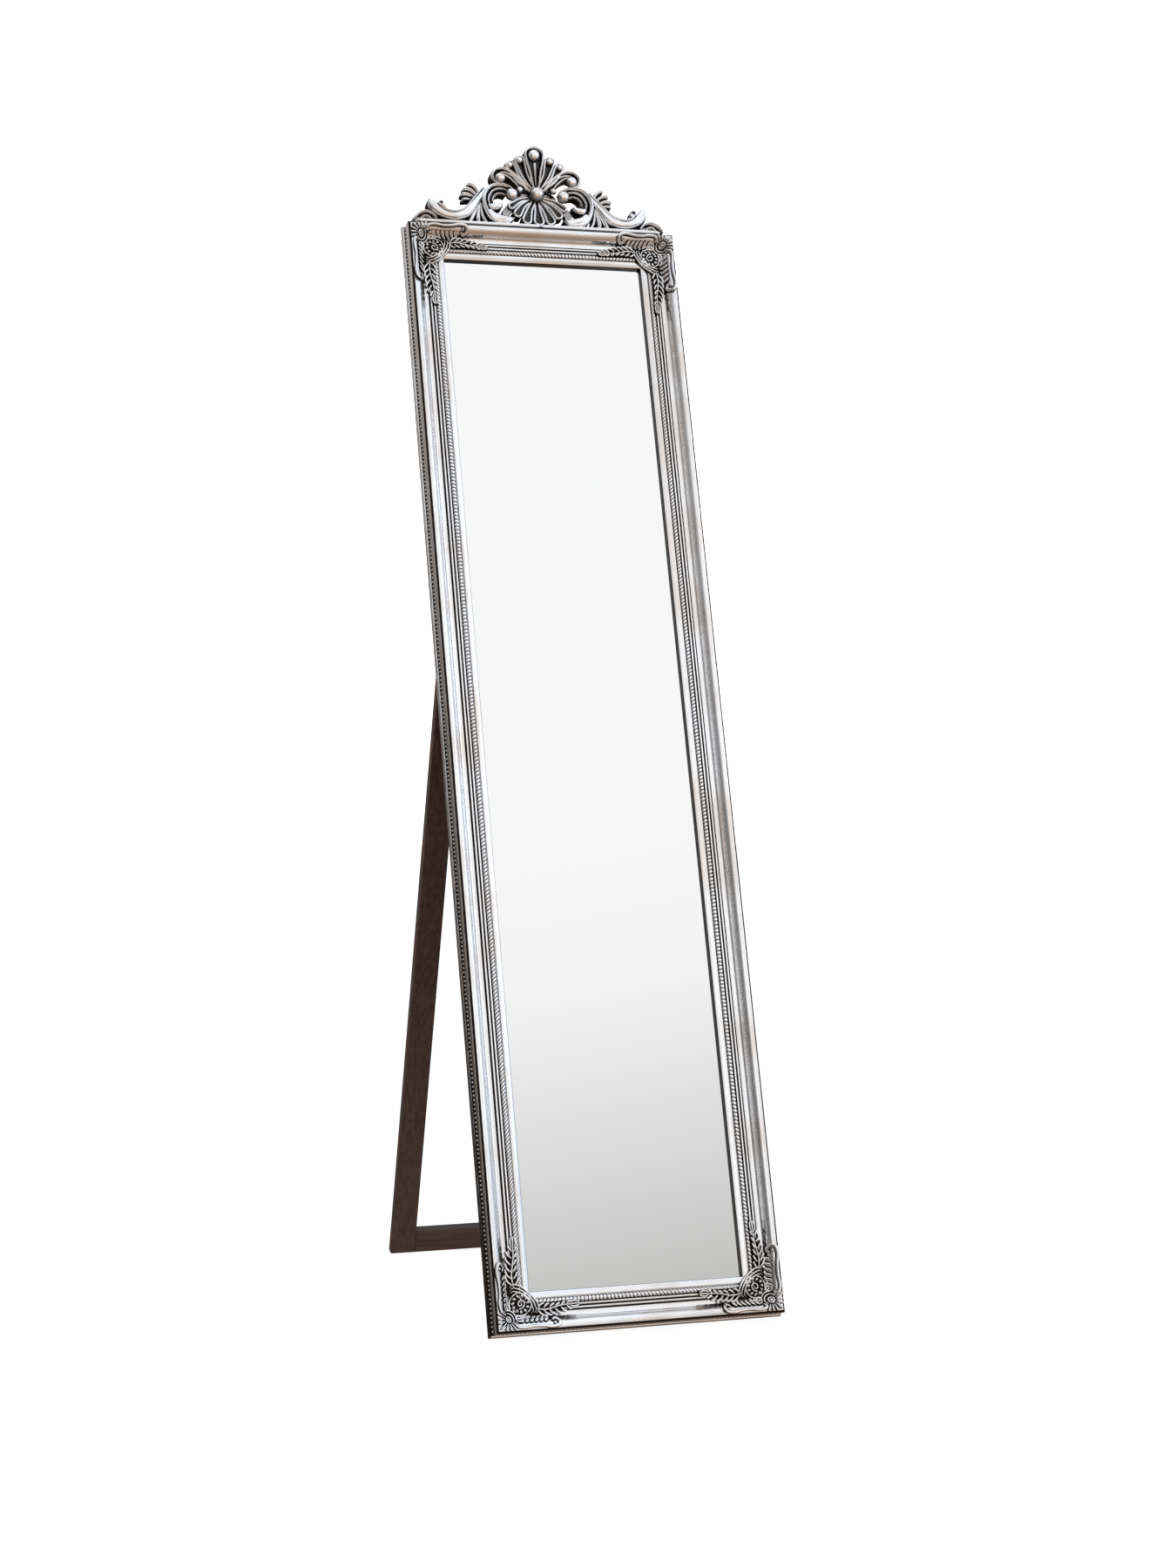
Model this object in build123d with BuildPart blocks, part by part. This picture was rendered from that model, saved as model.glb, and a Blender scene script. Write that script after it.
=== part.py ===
from build123d import *
from math import cos, radians, sin
import os

# A tall floor mirror: a silver-leafed moulded frame with a pierced crest, leaning on a folding rear strut.
# Millimetres and degrees. +Z is up and the mirror faces -Y.
# The origin is the middle of the flat on which the frame's lower rail stands.

# Stance
LEAN = 17.0
OPEN_ANGLE = 35.0
FRAME_FLAT = 0.25
STRUT_FLAT = 1.3

# Frame, overall
FRAME_WIDTH = 455.0
FRAME_HEIGHT = 1754.0
FRAME_DEPTH = 42.0

# Moulding section, from the outer side inwards
BAND_DEPTH = 14.0
BAND_CROWN = 1.5
GROOVE_WIDTH = 9.0
GROOVE_DEPTH = 5.0
GROOVE_LIP = 2.0
SIDE_FLARE = 4.0
NOSE_RADIUS = 4.5
RIM_FLAT = 2.5
OGEE_WIDTH = 20.0
OGEE_DROP = 15.0
QUIRK_WIDTH = 2.2
QUIRK_DEPTH = 2.5
FILLET_WIDTH = 3.3
FILLET_RISE = 2.5
ROPE_WIDTH = 8.0
ROPE_RISE = 4.5
ROPE_SHOULDER = 1.0
SIGHT_WIDTH = 12.0
SIGHT_DROP = 13.5
SIGHT_CROWN = 0.8
LIP_THICKNESS = 8.0
REBATE_WIDTH = 8.0
BEAD_WIDTH = 7.0
BEAD_RISE = 3.5

# Glass and its backing
GLASS_THICKNESS = 4.0
PANEL_THICKNESS = 3.0
GLASS_CLEARANCE = 1.0
POINT_LENGTH = 14.0
POINT_WIDTH = 9.0
POINT_THICKNESS = 0.8
POINTS_PER_STILE = 5
POINTS_PER_RAIL = 2
NAIL_LEG = 9.0
NAIL_THICKNESS = 1.2
NAIL_DEPTH = 12.0
NAIL_PLACES = (16.0, 34.0)

# Crest, a casting that stands on the top rail; x runs right from its middle and y up from its foot
CREST_BACK = 10.0
FOOT_HALF_WIDTH = 210.0
FOOT_HEIGHT = 5.0
FOOT_DEPTH = 24.0
BOSS_HEIGHT = 61.0
BOSS_RADIUS = 12.0
BOSS_DEPTH = 18.0
LOBE_ROOT = 4.0
LOBE_RIM = 2.0
LOBE_SINK = 3.0
FIELD_START = 0.45
# Lobes of the fan as tip x, tip y, tip radius and depth
UPPER_LOBES = ((0.0, 127.0, 17.5, 26.0), (25.5, 118.0, 9.0, 23.0), (42.0, 109.0, 8.0, 22.0))
LOWER_LOBES = (
    (0.0, 12.5, 8.5, 20.5), (20.0, 14.5, 8.0, 20.0), (34.5, 26.0, 7.0, 19.0), (44.0, 39.0, 6.0, 18.0),
)
HOOK_DEPTH = 25.0
HOOK_OUTER = (
    (9.0, 65.0), (20.0, 81.0), (30.0, 92.0), (41.0, 101.0), (54.5, 105.8), (67.0, 103.0),
    (75.5, 94.0), (75.5, 83.5), (69.0, 75.5),
)
HOOK_INNER = ((69.0, 75.5), (61.0, 83.0), (54.0, 89.0), (45.0, 85.0), (36.0, 77.0), (28.0, 66.0), (9.0, 65.0))
HOOK_BALL = (61.0, 85.5, 9.2, 18.5)
HOOK_CURL = (28.5, 67.5, 5.4, 17.5)
SCROLL_CENTRE = (63.5, 41.0)
SCROLL_RADIUS = 34.0
SCROLL_BAND = 12.0
SCROLL_START = 141.0
SCROLL_TURN = -286.0
SCROLL_DEPTH = 26.0
SCROLL_BALL = (43.8, 57.3, 10.3, 19.5)
TURNOVER = (74.0, 25.0, 18.0)
TURNOVER_DEPTH = 21.0
ARM_DEPTH = 26.0
ARM_UPPER = (
    (79.0, 70.0), (94.5, 60.0), (108.5, 43.0), (124.0, 26.0), (138.5, 18.5),
    (152.5, 18.0), (163.0, 25.0), (171.0, 38.0), (181.5, 43.0),
)
ARM_LOWER = (
    (181.5, 43.0), (188.0, 30.0), (182.0, 15.0), (171.0, 7.0), (153.5, 2.0),
    (135.5, 4.0), (125.0, 9.0), (115.5, 22.0), (102.0, 36.0), (90.5, 50.0), (79.0, 70.0),
)
ARM_CURL = (161.0, 31.0, 6.5, 20.0)
SPRAY_DEPTH = 22.0
SPRAY_LEFT = ((90.5, 0.0), (95.5, 22.0), (101.0, 38.0))
SPRAY_RIGHT = ((101.0, 38.0), (108.0, 22.0), (128.0, 0.0))
TUFT_ROOT = (99.0, 50.0, 3.5)
TUFT_TIPS = ((110.5, 66.0), (118.5, 60.0), (122.0, 50.0))
TUFT_RADIUS = 4.5
TUFT_DEPTH = 18.0
END_LEAF_DEPTH = 26.0
END_LEAF = ((165.0, 0.0), (176.5, 14.0), (193.5, 19.0), (207.0, 13.0), (214.5, 0.0))
CREST_DOWEL_RADIUS = 3.0
CREST_DOWEL_LENGTH = 28.0
CREST_DOWEL_RISE = 11.0
CREST_DOWEL_SPACING = 148.0

# Corner ornament, laid over the moulding; both places are measured inwards from the corner of the front
RELIEF = 5.0
RELIEF_MARGIN = 2.0
SHELL = (21.0, 21.0, 19.0)
# Knobs as two places, radius and height above the foot of the ogee
SHELL_HUB = (21.0, 21.0, 7.0, 4.0)
CARTOUCHE_BOSS = (41.0, 41.0, 9.0, 2.0)
CURL_KNOB = (83.0, 13.5, 6.0, 13.5)
# Tapered bars of one arm as start and end, each with its radius; the other arm mirrors them over the diagonal
ORNAMENT_BARS = (
    ((21.0, 21.0, 14.0), (42.0, 42.0, 15.0)),
    ((30.0, 14.0, 7.0), (70.0, 12.0, 5.5)),
    ((70.0, 12.0, 5.5), (82.0, 13.0, 8.0)),
    ((42.0, 36.0, 13.0), (66.0, 33.0, 12.0)),
    ((66.0, 33.0, 12.0), (96.0, 36.0, 8.0)),
    ((96.0, 36.0, 8.0), (124.0, 38.5, 2.5)),
)

# Strut
STRUT_WIDTH = 447.0
STRUT_RAIL = 40.0
STRUT_THICKNESS = 18.0
STRUT_HEAD = 40.0
STRUT_EASE = 1.5
STOP_GAP = 0.3
STRUT_DOWEL_RADIUS = 3.0
STRUT_DOWEL_LENGTH = 40.0
TOP_DOWEL_PLACES = (7.0, 20.0)
BOTTOM_DOWEL_PLACES = (12.0, 28.0)

# Hinges between the stiles and the strut
HINGE_HEIGHT = 978.0
HINGE_LENGTH = 36.0
KNUCKLE_RADIUS = 4.0
KNUCKLE_LENGTH = 12.0
KNUCKLE_GAP = 0.3
PIN_RADIUS = 2.0
PIN_CLEARANCE = 0.05
PIN_HEAD = 1.2
PIN_HEAD_RADIUS = 3.0
LEAF_WIDTH = 26.0
LEAF_THICKNESS = 2.0
SCREW_HEAD_RADIUS = 3.4
SCREW_RADIUS = 1.7
SCREW_POINT = 3.0
SCREW_LENGTH = 14.0
# Screw places on a leaf as x from its middle and distance from the pin
SCREW_PLACES = ((-12.0, 12.0), (0.0, 20.0), (12.0, 12.0))

# Section levels: across is measured inwards from the outer side, level forwards from the back
groove_front = BAND_DEPTH + GROOVE_WIDTH
nose_end = SIDE_FLARE + NOSE_RADIUS
ogee_start = nose_end + RIM_FLAT
ogee_end = ogee_start + OGEE_WIDTH
ogee_foot = FRAME_DEPTH - OGEE_DROP
first_fillet = ogee_end + QUIRK_WIDTH
second_fillet = first_fillet + FILLET_WIDTH + QUIRK_WIDTH
fillet_level = ogee_foot + FILLET_RISE
rope_start = second_fillet + FILLET_WIDTH
rope_end = rope_start + ROPE_WIDTH
border = rope_end + SIGHT_WIDTH
sight_level = FRAME_DEPTH - SIGHT_DROP
glass_front = sight_level - LIP_THICKNESS
glass_back = glass_front - GLASS_THICKNESS
panel_back = glass_back - PANEL_THICKNESS
rebate_wall = border - REBATE_WIDTH
bead_middle = BAND_DEPTH + GROOVE_WIDTH / 2

# The frame stands on the rounded band of its lower rail, where a narrow flat is planed level with the floor
lean = radians(LEAN)
band_radius = ((BAND_DEPTH / 2) ** 2 + BAND_CROWN**2) / (2 * BAND_CROWN)
touch_across = band_radius * (1 - cos(lean))
touch_level = BAND_DEPTH / 2 - band_radius * sin(lean)
frame_y = touch_level * cos(lean) - touch_across * sin(lean)
frame_z = -touch_across * cos(lean) - touch_level * sin(lean) - FRAME_FLAT
# On this plane x runs right, y up the frame from its lower edge and z out of its face from the back
FRAME = Plane(origin=(0, frame_y, frame_z), x_dir=(1, 0, 0), z_dir=(0, -cos(lean), sin(lean)))

# The strut's plane has its origin on the hinge pins, x right, y up the strut and z towards the frame
strut_lean = radians(OPEN_ANGLE - LEAN)
axis_gap = KNUCKLE_RADIUS + KNUCKLE_GAP
axis_middle = FRAME.from_local_coords(Vector(0, HINGE_HEIGHT, -axis_gap))
STRUT = Plane(origin=axis_middle, x_dir=(1, 0, 0), z_dir=(0, -cos(strut_lean), -sin(strut_lean)))
# The fixed leaves lie on the frame's plane, moved to the hinge pins
HINGE = Plane(origin=axis_middle, x_dir=(1, 0, 0), z_dir=FRAME.z_dir)
strut_front = -axis_gap
strut_middle = strut_front - STRUT_THICKNESS / 2
strut_length = (axis_middle.Z + axis_gap * sin(strut_lean) + STRUT_FLAT) / cos(strut_lean)
strut_inner = STRUT_WIDTH / 2 - STRUT_RAIL
hinge_offset = STRUT_WIDTH / 2 - STRUT_RAIL / 2
BACK_STOP = FRAME.offset(-STOP_GAP)

SIDES = {"left": -1, "right": 1}


def rail_plane(side):
    """The plane of one rail's section: x inwards from the outer edge, y forwards, z along the rail."""
    middle = FRAME_HEIGHT / 2
    places = {
        "left": (Vector(-FRAME_WIDTH / 2, middle, 0), FRAME.x_dir),
        "right": (Vector(FRAME_WIDTH / 2, middle, 0), FRAME.x_dir * -1),
        "top": (Vector(0, FRAME_HEIGHT, 0), FRAME.y_dir * -1),
        "bottom": (Vector(0, 0, 0), FRAME.y_dir),
    }
    place, inwards = places[side]
    return Plane(
        origin=FRAME.from_local_coords(place), x_dir=inwards, z_dir=inwards.cross(FRAME.z_dir)
    )


def draw_moulding():
    """Outline of the moulding: outer side, ogee, two fillets, rope channel, sight band and rebate."""
    nose_mid = NOSE_RADIUS * (1 - cos(radians(45)))
    ogee_mid = (ogee_start + OGEE_WIDTH / 2, FRAME_DEPTH - OGEE_DROP / 2)
    quirk_level = fillet_level - QUIRK_DEPTH
    ThreePointArc((BAND_CROWN, 0), (0, BAND_DEPTH / 2), (BAND_CROWN, BAND_DEPTH))
    Polyline(
        (BAND_CROWN, BAND_DEPTH),
        (GROOVE_DEPTH, BAND_DEPTH),
        (GROOVE_DEPTH, groove_front),
        (GROOVE_LIP, groove_front),
        (SIDE_FLARE, FRAME_DEPTH - NOSE_RADIUS),
    )
    ThreePointArc(
        (SIDE_FLARE, FRAME_DEPTH - NOSE_RADIUS),
        (SIDE_FLARE + nose_mid, FRAME_DEPTH - nose_mid),
        (nose_end, FRAME_DEPTH),
    )
    Line((nose_end, FRAME_DEPTH), (ogee_start, FRAME_DEPTH))
    TangentArc((ogee_start, FRAME_DEPTH), ogee_mid, tangent=(1, 0))
    TangentArc((ogee_end, ogee_foot), ogee_mid, tangent=(-1, 0))
    Polyline(
        (ogee_end, ogee_foot),
        (first_fillet, ogee_foot),
        (first_fillet, fillet_level),
        (first_fillet + FILLET_WIDTH, fillet_level),
        (first_fillet + FILLET_WIDTH, quirk_level),
        (second_fillet, quirk_level),
        (second_fillet, fillet_level),
        (rope_start, fillet_level),
        (rope_start, ogee_foot),
        (rope_end, ogee_foot),
        (rope_end, fillet_level),
    )
    ThreePointArc(
        (rope_end, fillet_level),
        (rope_end + SIGHT_WIDTH / 2, (fillet_level + sight_level) / 2 + SIGHT_CROWN),
        (border, sight_level),
    )
    Polyline(
        (border, sight_level),
        (border, glass_front),
        (rebate_wall, glass_front),
        (rebate_wall, 0),
        (BAND_CROWN, 0),
    )


def draw_rope():
    """Outline of the rope run that lies in its channel."""
    shoulder = ogee_foot + ROPE_SHOULDER
    Polyline((rope_start, shoulder), (rope_start, ogee_foot), (rope_end, ogee_foot), (rope_end, shoulder))
    ThreePointArc(
        (rope_end, shoulder), (rope_start + ROPE_WIDTH / 2, ogee_foot + ROPE_RISE), (rope_start, shoulder)
    )


def draw_bead():
    """Outline of the bead run on the floor of the outer groove."""
    low = bead_middle - BEAD_WIDTH / 2
    high = bead_middle + BEAD_WIDTH / 2
    Line((GROOVE_DEPTH, low), (GROOVE_DEPTH, high))
    ThreePointArc((GROOVE_DEPTH, high), (GROOVE_DEPTH - BEAD_RISE, bead_middle), (GROOVE_DEPTH, low))


def draw_relief():
    """Outline of the space that a corner ornament fills over the moulding."""
    ogee_mid = (ogee_start + OGEE_WIDTH / 2, FRAME_DEPTH + RELIEF - OGEE_DROP / 2)
    inner_level = ogee_foot + max(FILLET_RISE, ROPE_RISE) + RELIEF
    inner_edge = rope_end + SIGHT_WIDTH / 2
    outer_edge = SIDE_FLARE + RELIEF_MARGIN
    Polyline(
        (ogee_end, ogee_foot),
        (outer_edge, groove_front),
        (outer_edge, FRAME_DEPTH),
        (nose_end, FRAME_DEPTH + RELIEF),
        (ogee_start, FRAME_DEPTH + RELIEF),
    )
    TangentArc((ogee_start, FRAME_DEPTH + RELIEF), ogee_mid, tangent=(1, 0))
    TangentArc((ogee_end, ogee_foot + RELIEF), ogee_mid, tangent=(-1, 0))
    Polyline(
        (ogee_end, ogee_foot + RELIEF),
        (rope_start, inner_level),
        (inner_edge, inner_level),
        (inner_edge, ogee_foot),
        (ogee_end, ogee_foot),
    )


def mitred_run(label, side, draw_section, sockets=()):
    """One length of the frame's section, mitred at both ends, with a socket for each fastener."""
    plane = rail_plane(side)
    length = FRAME_HEIGHT if side in SIDES else FRAME_WIDTH
    with BuildPart() as run:
        with BuildSketch(plane):
            with BuildLine():
                draw_section()
            make_face()
        extrude(amount=length / 2, both=True)
        for end in (1, -1):
            corner = plane.from_local_coords(Vector(0, 0, end * length / 2))
            split(bisect_by=Plane(origin=corner, z_dir=plane.x_dir + plane.z_dir * end), keep=Keep.BOTTOM)
        if side != "top":
            split(bisect_by=Plane.XY, keep=Keep.TOP)
        for socket in sockets:
            add(socket.part, mode=Mode.SUBTRACT)
    run.part.label = label
    return run


def tapered_bar(plane, start, end, depth):
    """A bar with round ends, each given as x, y and radius, raised from a plane."""
    with BuildSketch(plane) as bar:
        for x, y, radius in (start, end):
            with Locations((x, y)):
                Circle(radius)
        make_hull()
    extrude(bar.sketch, amount=depth)


def curved_plate(plane, outlines, depth):
    """A plate whose edge runs through the given points, one smooth curve for each stretch."""
    with BuildSketch(plane) as plate:
        with BuildLine():
            for points in outlines:
                if len(points) > 2:
                    Spline(*points)
                else:
                    Line(*points)
        make_face()
    extrude(plate.sketch, amount=depth)


def swapped(place):
    """The same place on the other arm of a corner ornament."""
    return (place[1], place[0], *place[2:])


def strut_bar(label, middle, width, height, long_way, sockets):
    """One eased bar of the strut, cut by the stop bevel at its head and by the floor at its foot."""
    with BuildPart() as bar:
        with BuildSketch(STRUT.offset(strut_front - STRUT_THICKNESS)):
            with Locations(middle):
                Rectangle(width, height)
        extrude(amount=STRUT_THICKNESS)
        fillet(bar.edges().filter_by(Axis(STRUT.origin, long_way)), STRUT_EASE)
        split(bisect_by=BACK_STOP, keep=Keep.BOTTOM)
        split(bisect_by=Plane.XY, keep=Keep.TOP)
        for socket in sockets:
            add(socket.part, mode=Mode.SUBTRACT)
    bar.part.label = label
    return bar


def ball(plane, x, y, radius, depth):
    """A ball on a round post that stands on a plane."""
    with BuildSketch(plane) as post:
        with Locations((x, y)):
            Circle(radius)
    extrude(post.sketch, amount=depth)
    with Locations(plane.from_local_coords(Vector(x, y, depth))):
        Sphere(radius)


def leaf_screws(label, base, leaf_face, into):
    """The countersunk screws of both leaves of one kind; into points from the leaf into the wood."""
    with BuildPart() as screws:
        for across in SIDES.values():
            for x, drop in SCREW_PLACES:
                head = base.from_local_coords(Vector(across * hinge_offset + x, -drop, leaf_face))
                with BuildSketch(Plane(origin=head, x_dir=base.x_dir, z_dir=base.y_dir)) as half:
                    with BuildLine():
                        Polyline(
                            (0, 0),
                            (SCREW_HEAD_RADIUS, 0),
                            (SCREW_RADIUS, -into * LEAF_THICKNESS),
                            (SCREW_RADIUS, -into * (SCREW_LENGTH - SCREW_POINT)),
                            (0, -into * SCREW_LENGTH),
                            close=True,
                        )
                    make_face()
                revolve(half.sketch, axis=Axis(head, base.z_dir))
    screws.part.label = label
    return screws


def hinge_leaf(label, base, across, leaf_back, bore, knuckle_spans, screws):
    """One leaf: a screwed plate below the pin, with knuckles rolled on its upper edge."""
    clear = KNUCKLE_RADIUS + KNUCKLE_GAP
    plate_middle = leaf_back + LEAF_THICKNESS / 2
    section = Plane(
        origin=base.from_local_coords(Vector(across * hinge_offset, 0, 0)), x_dir=base.y_dir, z_dir=base.x_dir
    )
    with BuildPart() as leaf:
        with BuildSketch(section) as plate:
            with Locations((-(LEAF_WIDTH + clear) / 2, plate_middle)):
                Rectangle(LEAF_WIDTH - clear, LEAF_THICKNESS)
        extrude(plate.sketch, amount=HINGE_LENGTH / 2, both=True)
        for start, stop in knuckle_spans:
            with BuildSketch(section.offset(start)) as knuckle:
                Circle(KNUCKLE_RADIUS)
                with Locations((-LEAF_WIDTH / 2, plate_middle)):
                    Rectangle(LEAF_WIDTH, LEAF_THICKNESS)
                Circle(bore, mode=Mode.SUBTRACT)
            extrude(knuckle.sketch, amount=stop - start)
        add(screws.part, mode=Mode.SUBTRACT)
    leaf.part.label = label
    return leaf


# Fasteners come first, because the pieces that they hold have sockets of their shape

with BuildPart() as panel_points:
    point_level = panel_back - POINT_THICKNESS / 2
    for side in ("left", "right", "top", "bottom"):
        plane = rail_plane(side)
        count = POINTS_PER_STILE if side in SIDES else POINTS_PER_RAIL
        length = FRAME_HEIGHT if side in SIDES else FRAME_WIDTH
        for index in range(count):
            along = length * ((index + 0.5) / count - 0.5)
            middle = plane.from_local_coords(Vector(rebate_wall, point_level, along))
            with BuildSketch(Plane(origin=middle, x_dir=plane.x_dir, z_dir=FRAME.z_dir)) as point:
                Rectangle(POINT_LENGTH, POINT_WIDTH)
                chamfer(point.vertices(), POINT_WIDTH / 3)
            extrude(point.sketch, amount=POINT_THICKNESS / 2, both=True)
panel_points.part.label = "panel_points"

with BuildPart() as mitre_nails:
    for across in (-1, 1):
        for edge, upwards in ((0, 1), (FRAME_HEIGHT, -1)):
            for place in NAIL_PLACES:
                x = across * (FRAME_WIDTH / 2 - place)
                tip = FRAME.from_local_coords(Vector(x, edge + upwards * place, 0))
                mitre = FRAME.x_dir * -across + FRAME.y_dir * upwards
                with BuildSketch(Plane(origin=tip, x_dir=mitre, z_dir=FRAME.z_dir)) as nail:
                    with BuildLine() as legs:
                        Polyline(
                            (-NAIL_LEG / 2, NAIL_LEG / 2), (NAIL_LEG / 4, 0), (-NAIL_LEG / 2, -NAIL_LEG / 2)
                        )
                    trace(legs.line, line_width=NAIL_THICKNESS)
                extrude(nail.sketch, amount=NAIL_DEPTH)
mitre_nails.part.label = "mitre_nails"

with BuildPart() as crest_dowels:
    dowel_level = (groove_front + CREST_BACK + FOOT_DEPTH) / 2
    dowel_foot = FRAME_HEIGHT + CREST_DOWEL_RISE - CREST_DOWEL_LENGTH
    foot = FRAME.from_local_coords(Vector(0, dowel_foot, dowel_level))
    with BuildSketch(Plane(origin=foot, x_dir=FRAME.x_dir, z_dir=FRAME.y_dir)):
        with GridLocations(CREST_DOWEL_SPACING, 0, 2, 1):
            Circle(CREST_DOWEL_RADIUS)
    extrude(amount=CREST_DOWEL_LENGTH)
crest_dowels.part.label = "crest_dowels"

with BuildPart() as strut_dowels:
    for across in SIDES.values():
        for low_edge, places in (
            (STRUT_HEAD - STRUT_RAIL, TOP_DOWEL_PLACES),
            (-strut_length, BOTTOM_DOWEL_PLACES),
        ):
            for place in places:
                joint = STRUT.from_local_coords(Vector(across * strut_inner, low_edge + place, strut_middle))
                with BuildSketch(Plane(origin=joint, x_dir=STRUT.y_dir, z_dir=STRUT.x_dir)) as peg:
                    Circle(STRUT_DOWEL_RADIUS)
                extrude(peg.sketch, amount=STRUT_DOWEL_LENGTH / 2, both=True)
strut_dowels.part.label = "strut_dowels"


hinge_frame_screws = leaf_screws("hinge_frame_screws", HINGE, axis_gap - LEAF_THICKNESS, 1)
hinge_strut_screws = leaf_screws("hinge_strut_screws", STRUT, strut_front + LEAF_THICKNESS, -1)

# Frame

frame_fasteners = (panel_points, mitre_nails)
left_stile = mitred_run("left_stile", "left", draw_moulding, (*frame_fasteners, hinge_frame_screws))
right_stile = mitred_run("right_stile", "right", draw_moulding, (*frame_fasteners, hinge_frame_screws))
top_rail = mitred_run("top_rail", "top", draw_moulding, (*frame_fasteners, crest_dowels))
bottom_rail = mitred_run("bottom_rail", "bottom", draw_moulding, frame_fasteners)
rope_trims = [mitred_run(f"rope_trim_{side}", side, draw_rope) for side in ("left", "right", "top", "bottom")]
bead_trims = [mitred_run(f"bead_trim_{side}", side, draw_bead) for side in ("left", "right", "top", "bottom")]

inner_half_width = FRAME_WIDTH / 2 - rebate_wall - GLASS_CLEARANCE
inner_half_height = FRAME_HEIGHT / 2 - rebate_wall - GLASS_CLEARANCE

with BuildPart() as mirror_glass:
    with BuildSketch(FRAME.offset(glass_back)):
        with Locations((0, FRAME_HEIGHT / 2)):
            Rectangle(2 * inner_half_width, 2 * inner_half_height)
    extrude(amount=GLASS_THICKNESS)
mirror_glass.part.label = "mirror_glass"

with BuildPart() as back_panel:
    with BuildSketch(FRAME.offset(panel_back)):
        with Locations((0, FRAME_HEIGHT / 2)):
            Rectangle(2 * inner_half_width, 2 * inner_half_height)
    extrude(amount=PANEL_THICKNESS)
back_panel.part.label = "back_panel"

# Crest: one half is raised from the flat back, and mirrored

crest_foot = FRAME.from_local_coords(Vector(0, FRAME_HEIGHT, CREST_BACK))
CREST = Plane(origin=crest_foot, x_dir=FRAME.x_dir, z_dir=FRAME.z_dir)
boss_root = (0, BOSS_HEIGHT, LOBE_ROOT)

with BuildPart() as crest:
    with BuildSketch(CREST) as foot:
        with Locations((FOOT_HALF_WIDTH / 2, FOOT_HEIGHT / 2)):
            Rectangle(FOOT_HALF_WIDTH, FOOT_HEIGHT)
    extrude(foot.sketch, amount=FOOT_DEPTH)
    # The underside of the foot follows the slope of the rail's outer side
    with BuildSketch(CREST.offset(groove_front - CREST_BACK)) as seat:
        with Locations((FOOT_HALF_WIDTH / 2, -SIDE_FLARE / 2)):
            Rectangle(FOOT_HALF_WIDTH, SIDE_FLARE)
    extrude(seat.sketch, amount=CREST_BACK + FOOT_DEPTH - groove_front)
    for x, y, radius, depth in (*LOWER_LOBES, *UPPER_LOBES):
        tapered_bar(CREST, boss_root, (x, y, radius), depth)
    curved_plate(CREST, (HOOK_OUTER, HOOK_INNER), HOOK_DEPTH)
    curved_plate(CREST, (ARM_UPPER, ARM_LOWER), ARM_DEPTH)
    curved_plate(CREST, (SPRAY_LEFT, SPRAY_RIGHT, (SPRAY_RIGHT[-1], SPRAY_LEFT[0])), SPRAY_DEPTH)
    curved_plate(CREST, (END_LEAF, (END_LEAF[-1], END_LEAF[0])), END_LEAF_DEPTH)
    for tip in TUFT_TIPS:
        tapered_bar(CREST, TUFT_ROOT, (*tip, TUFT_RADIUS), TUFT_DEPTH)
    with BuildSketch(CREST) as scroll:
        with BuildLine():
            outer = CenterArc(SCROLL_CENTRE, SCROLL_RADIUS, SCROLL_START, SCROLL_TURN)
            inner = CenterArc(SCROLL_CENTRE, SCROLL_RADIUS - SCROLL_BAND, SCROLL_START, SCROLL_TURN)
            Line(outer @ 0, inner @ 0)
            Line(outer @ 1, inner @ 1)
        make_face()
    extrude(scroll.sketch, amount=SCROLL_DEPTH)
    with BuildSketch(CREST) as turnover:
        with Locations(TURNOVER[:2]):
            Circle(TURNOVER[2])
    extrude(turnover.sketch, amount=TURNOVER_DEPTH)
    for x, y, radius, depth in (HOOK_BALL, HOOK_CURL, SCROLL_BALL, ARM_CURL):
        ball(CREST, x, y, radius, depth)
    for x, y, radius, depth in (*LOWER_LOBES, *UPPER_LOBES):
        field_root = (
            x * FIELD_START,
            BOSS_HEIGHT + (y - BOSS_HEIGHT) * FIELD_START,
            LOBE_ROOT + (radius - LOBE_ROOT) * FIELD_START - LOBE_RIM,
        )
        with BuildSketch(CREST.offset(depth)) as field:
            for place_x, place_y, place_radius in (field_root, (x, y, radius - LOBE_RIM)):
                with Locations((place_x, place_y)):
                    Circle(place_radius)
            make_hull()
        extrude(field.sketch, amount=-LOBE_SINK, mode=Mode.SUBTRACT)
    split(bisect_by=Plane.YZ, keep=Keep.TOP)
    mirror(about=Plane.YZ)
    ball(CREST, 0, BOSS_HEIGHT, BOSS_RADIUS, BOSS_DEPTH)
    for piece in (top_rail, crest_dowels):
        add(piece.part, mode=Mode.SUBTRACT)
crest.part.label = "crest"

# Corner ornaments: one is cut to fit the moulding and mirrored to the other corners

corner_foot = FRAME.from_local_coords(Vector(SIDE_FLARE - FRAME_WIDTH / 2, SIDE_FLARE, ogee_foot))
CORNER = Plane(origin=corner_foot, x_dir=FRAME.x_dir, z_dir=FRAME.z_dir)
with BuildPart() as relief_space:
    for side in ("left", "bottom"):
        add(mitred_run(f"relief_{side}", side, draw_relief).part)
relief_height = FRAME_DEPTH + RELIEF - ogee_foot

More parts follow.
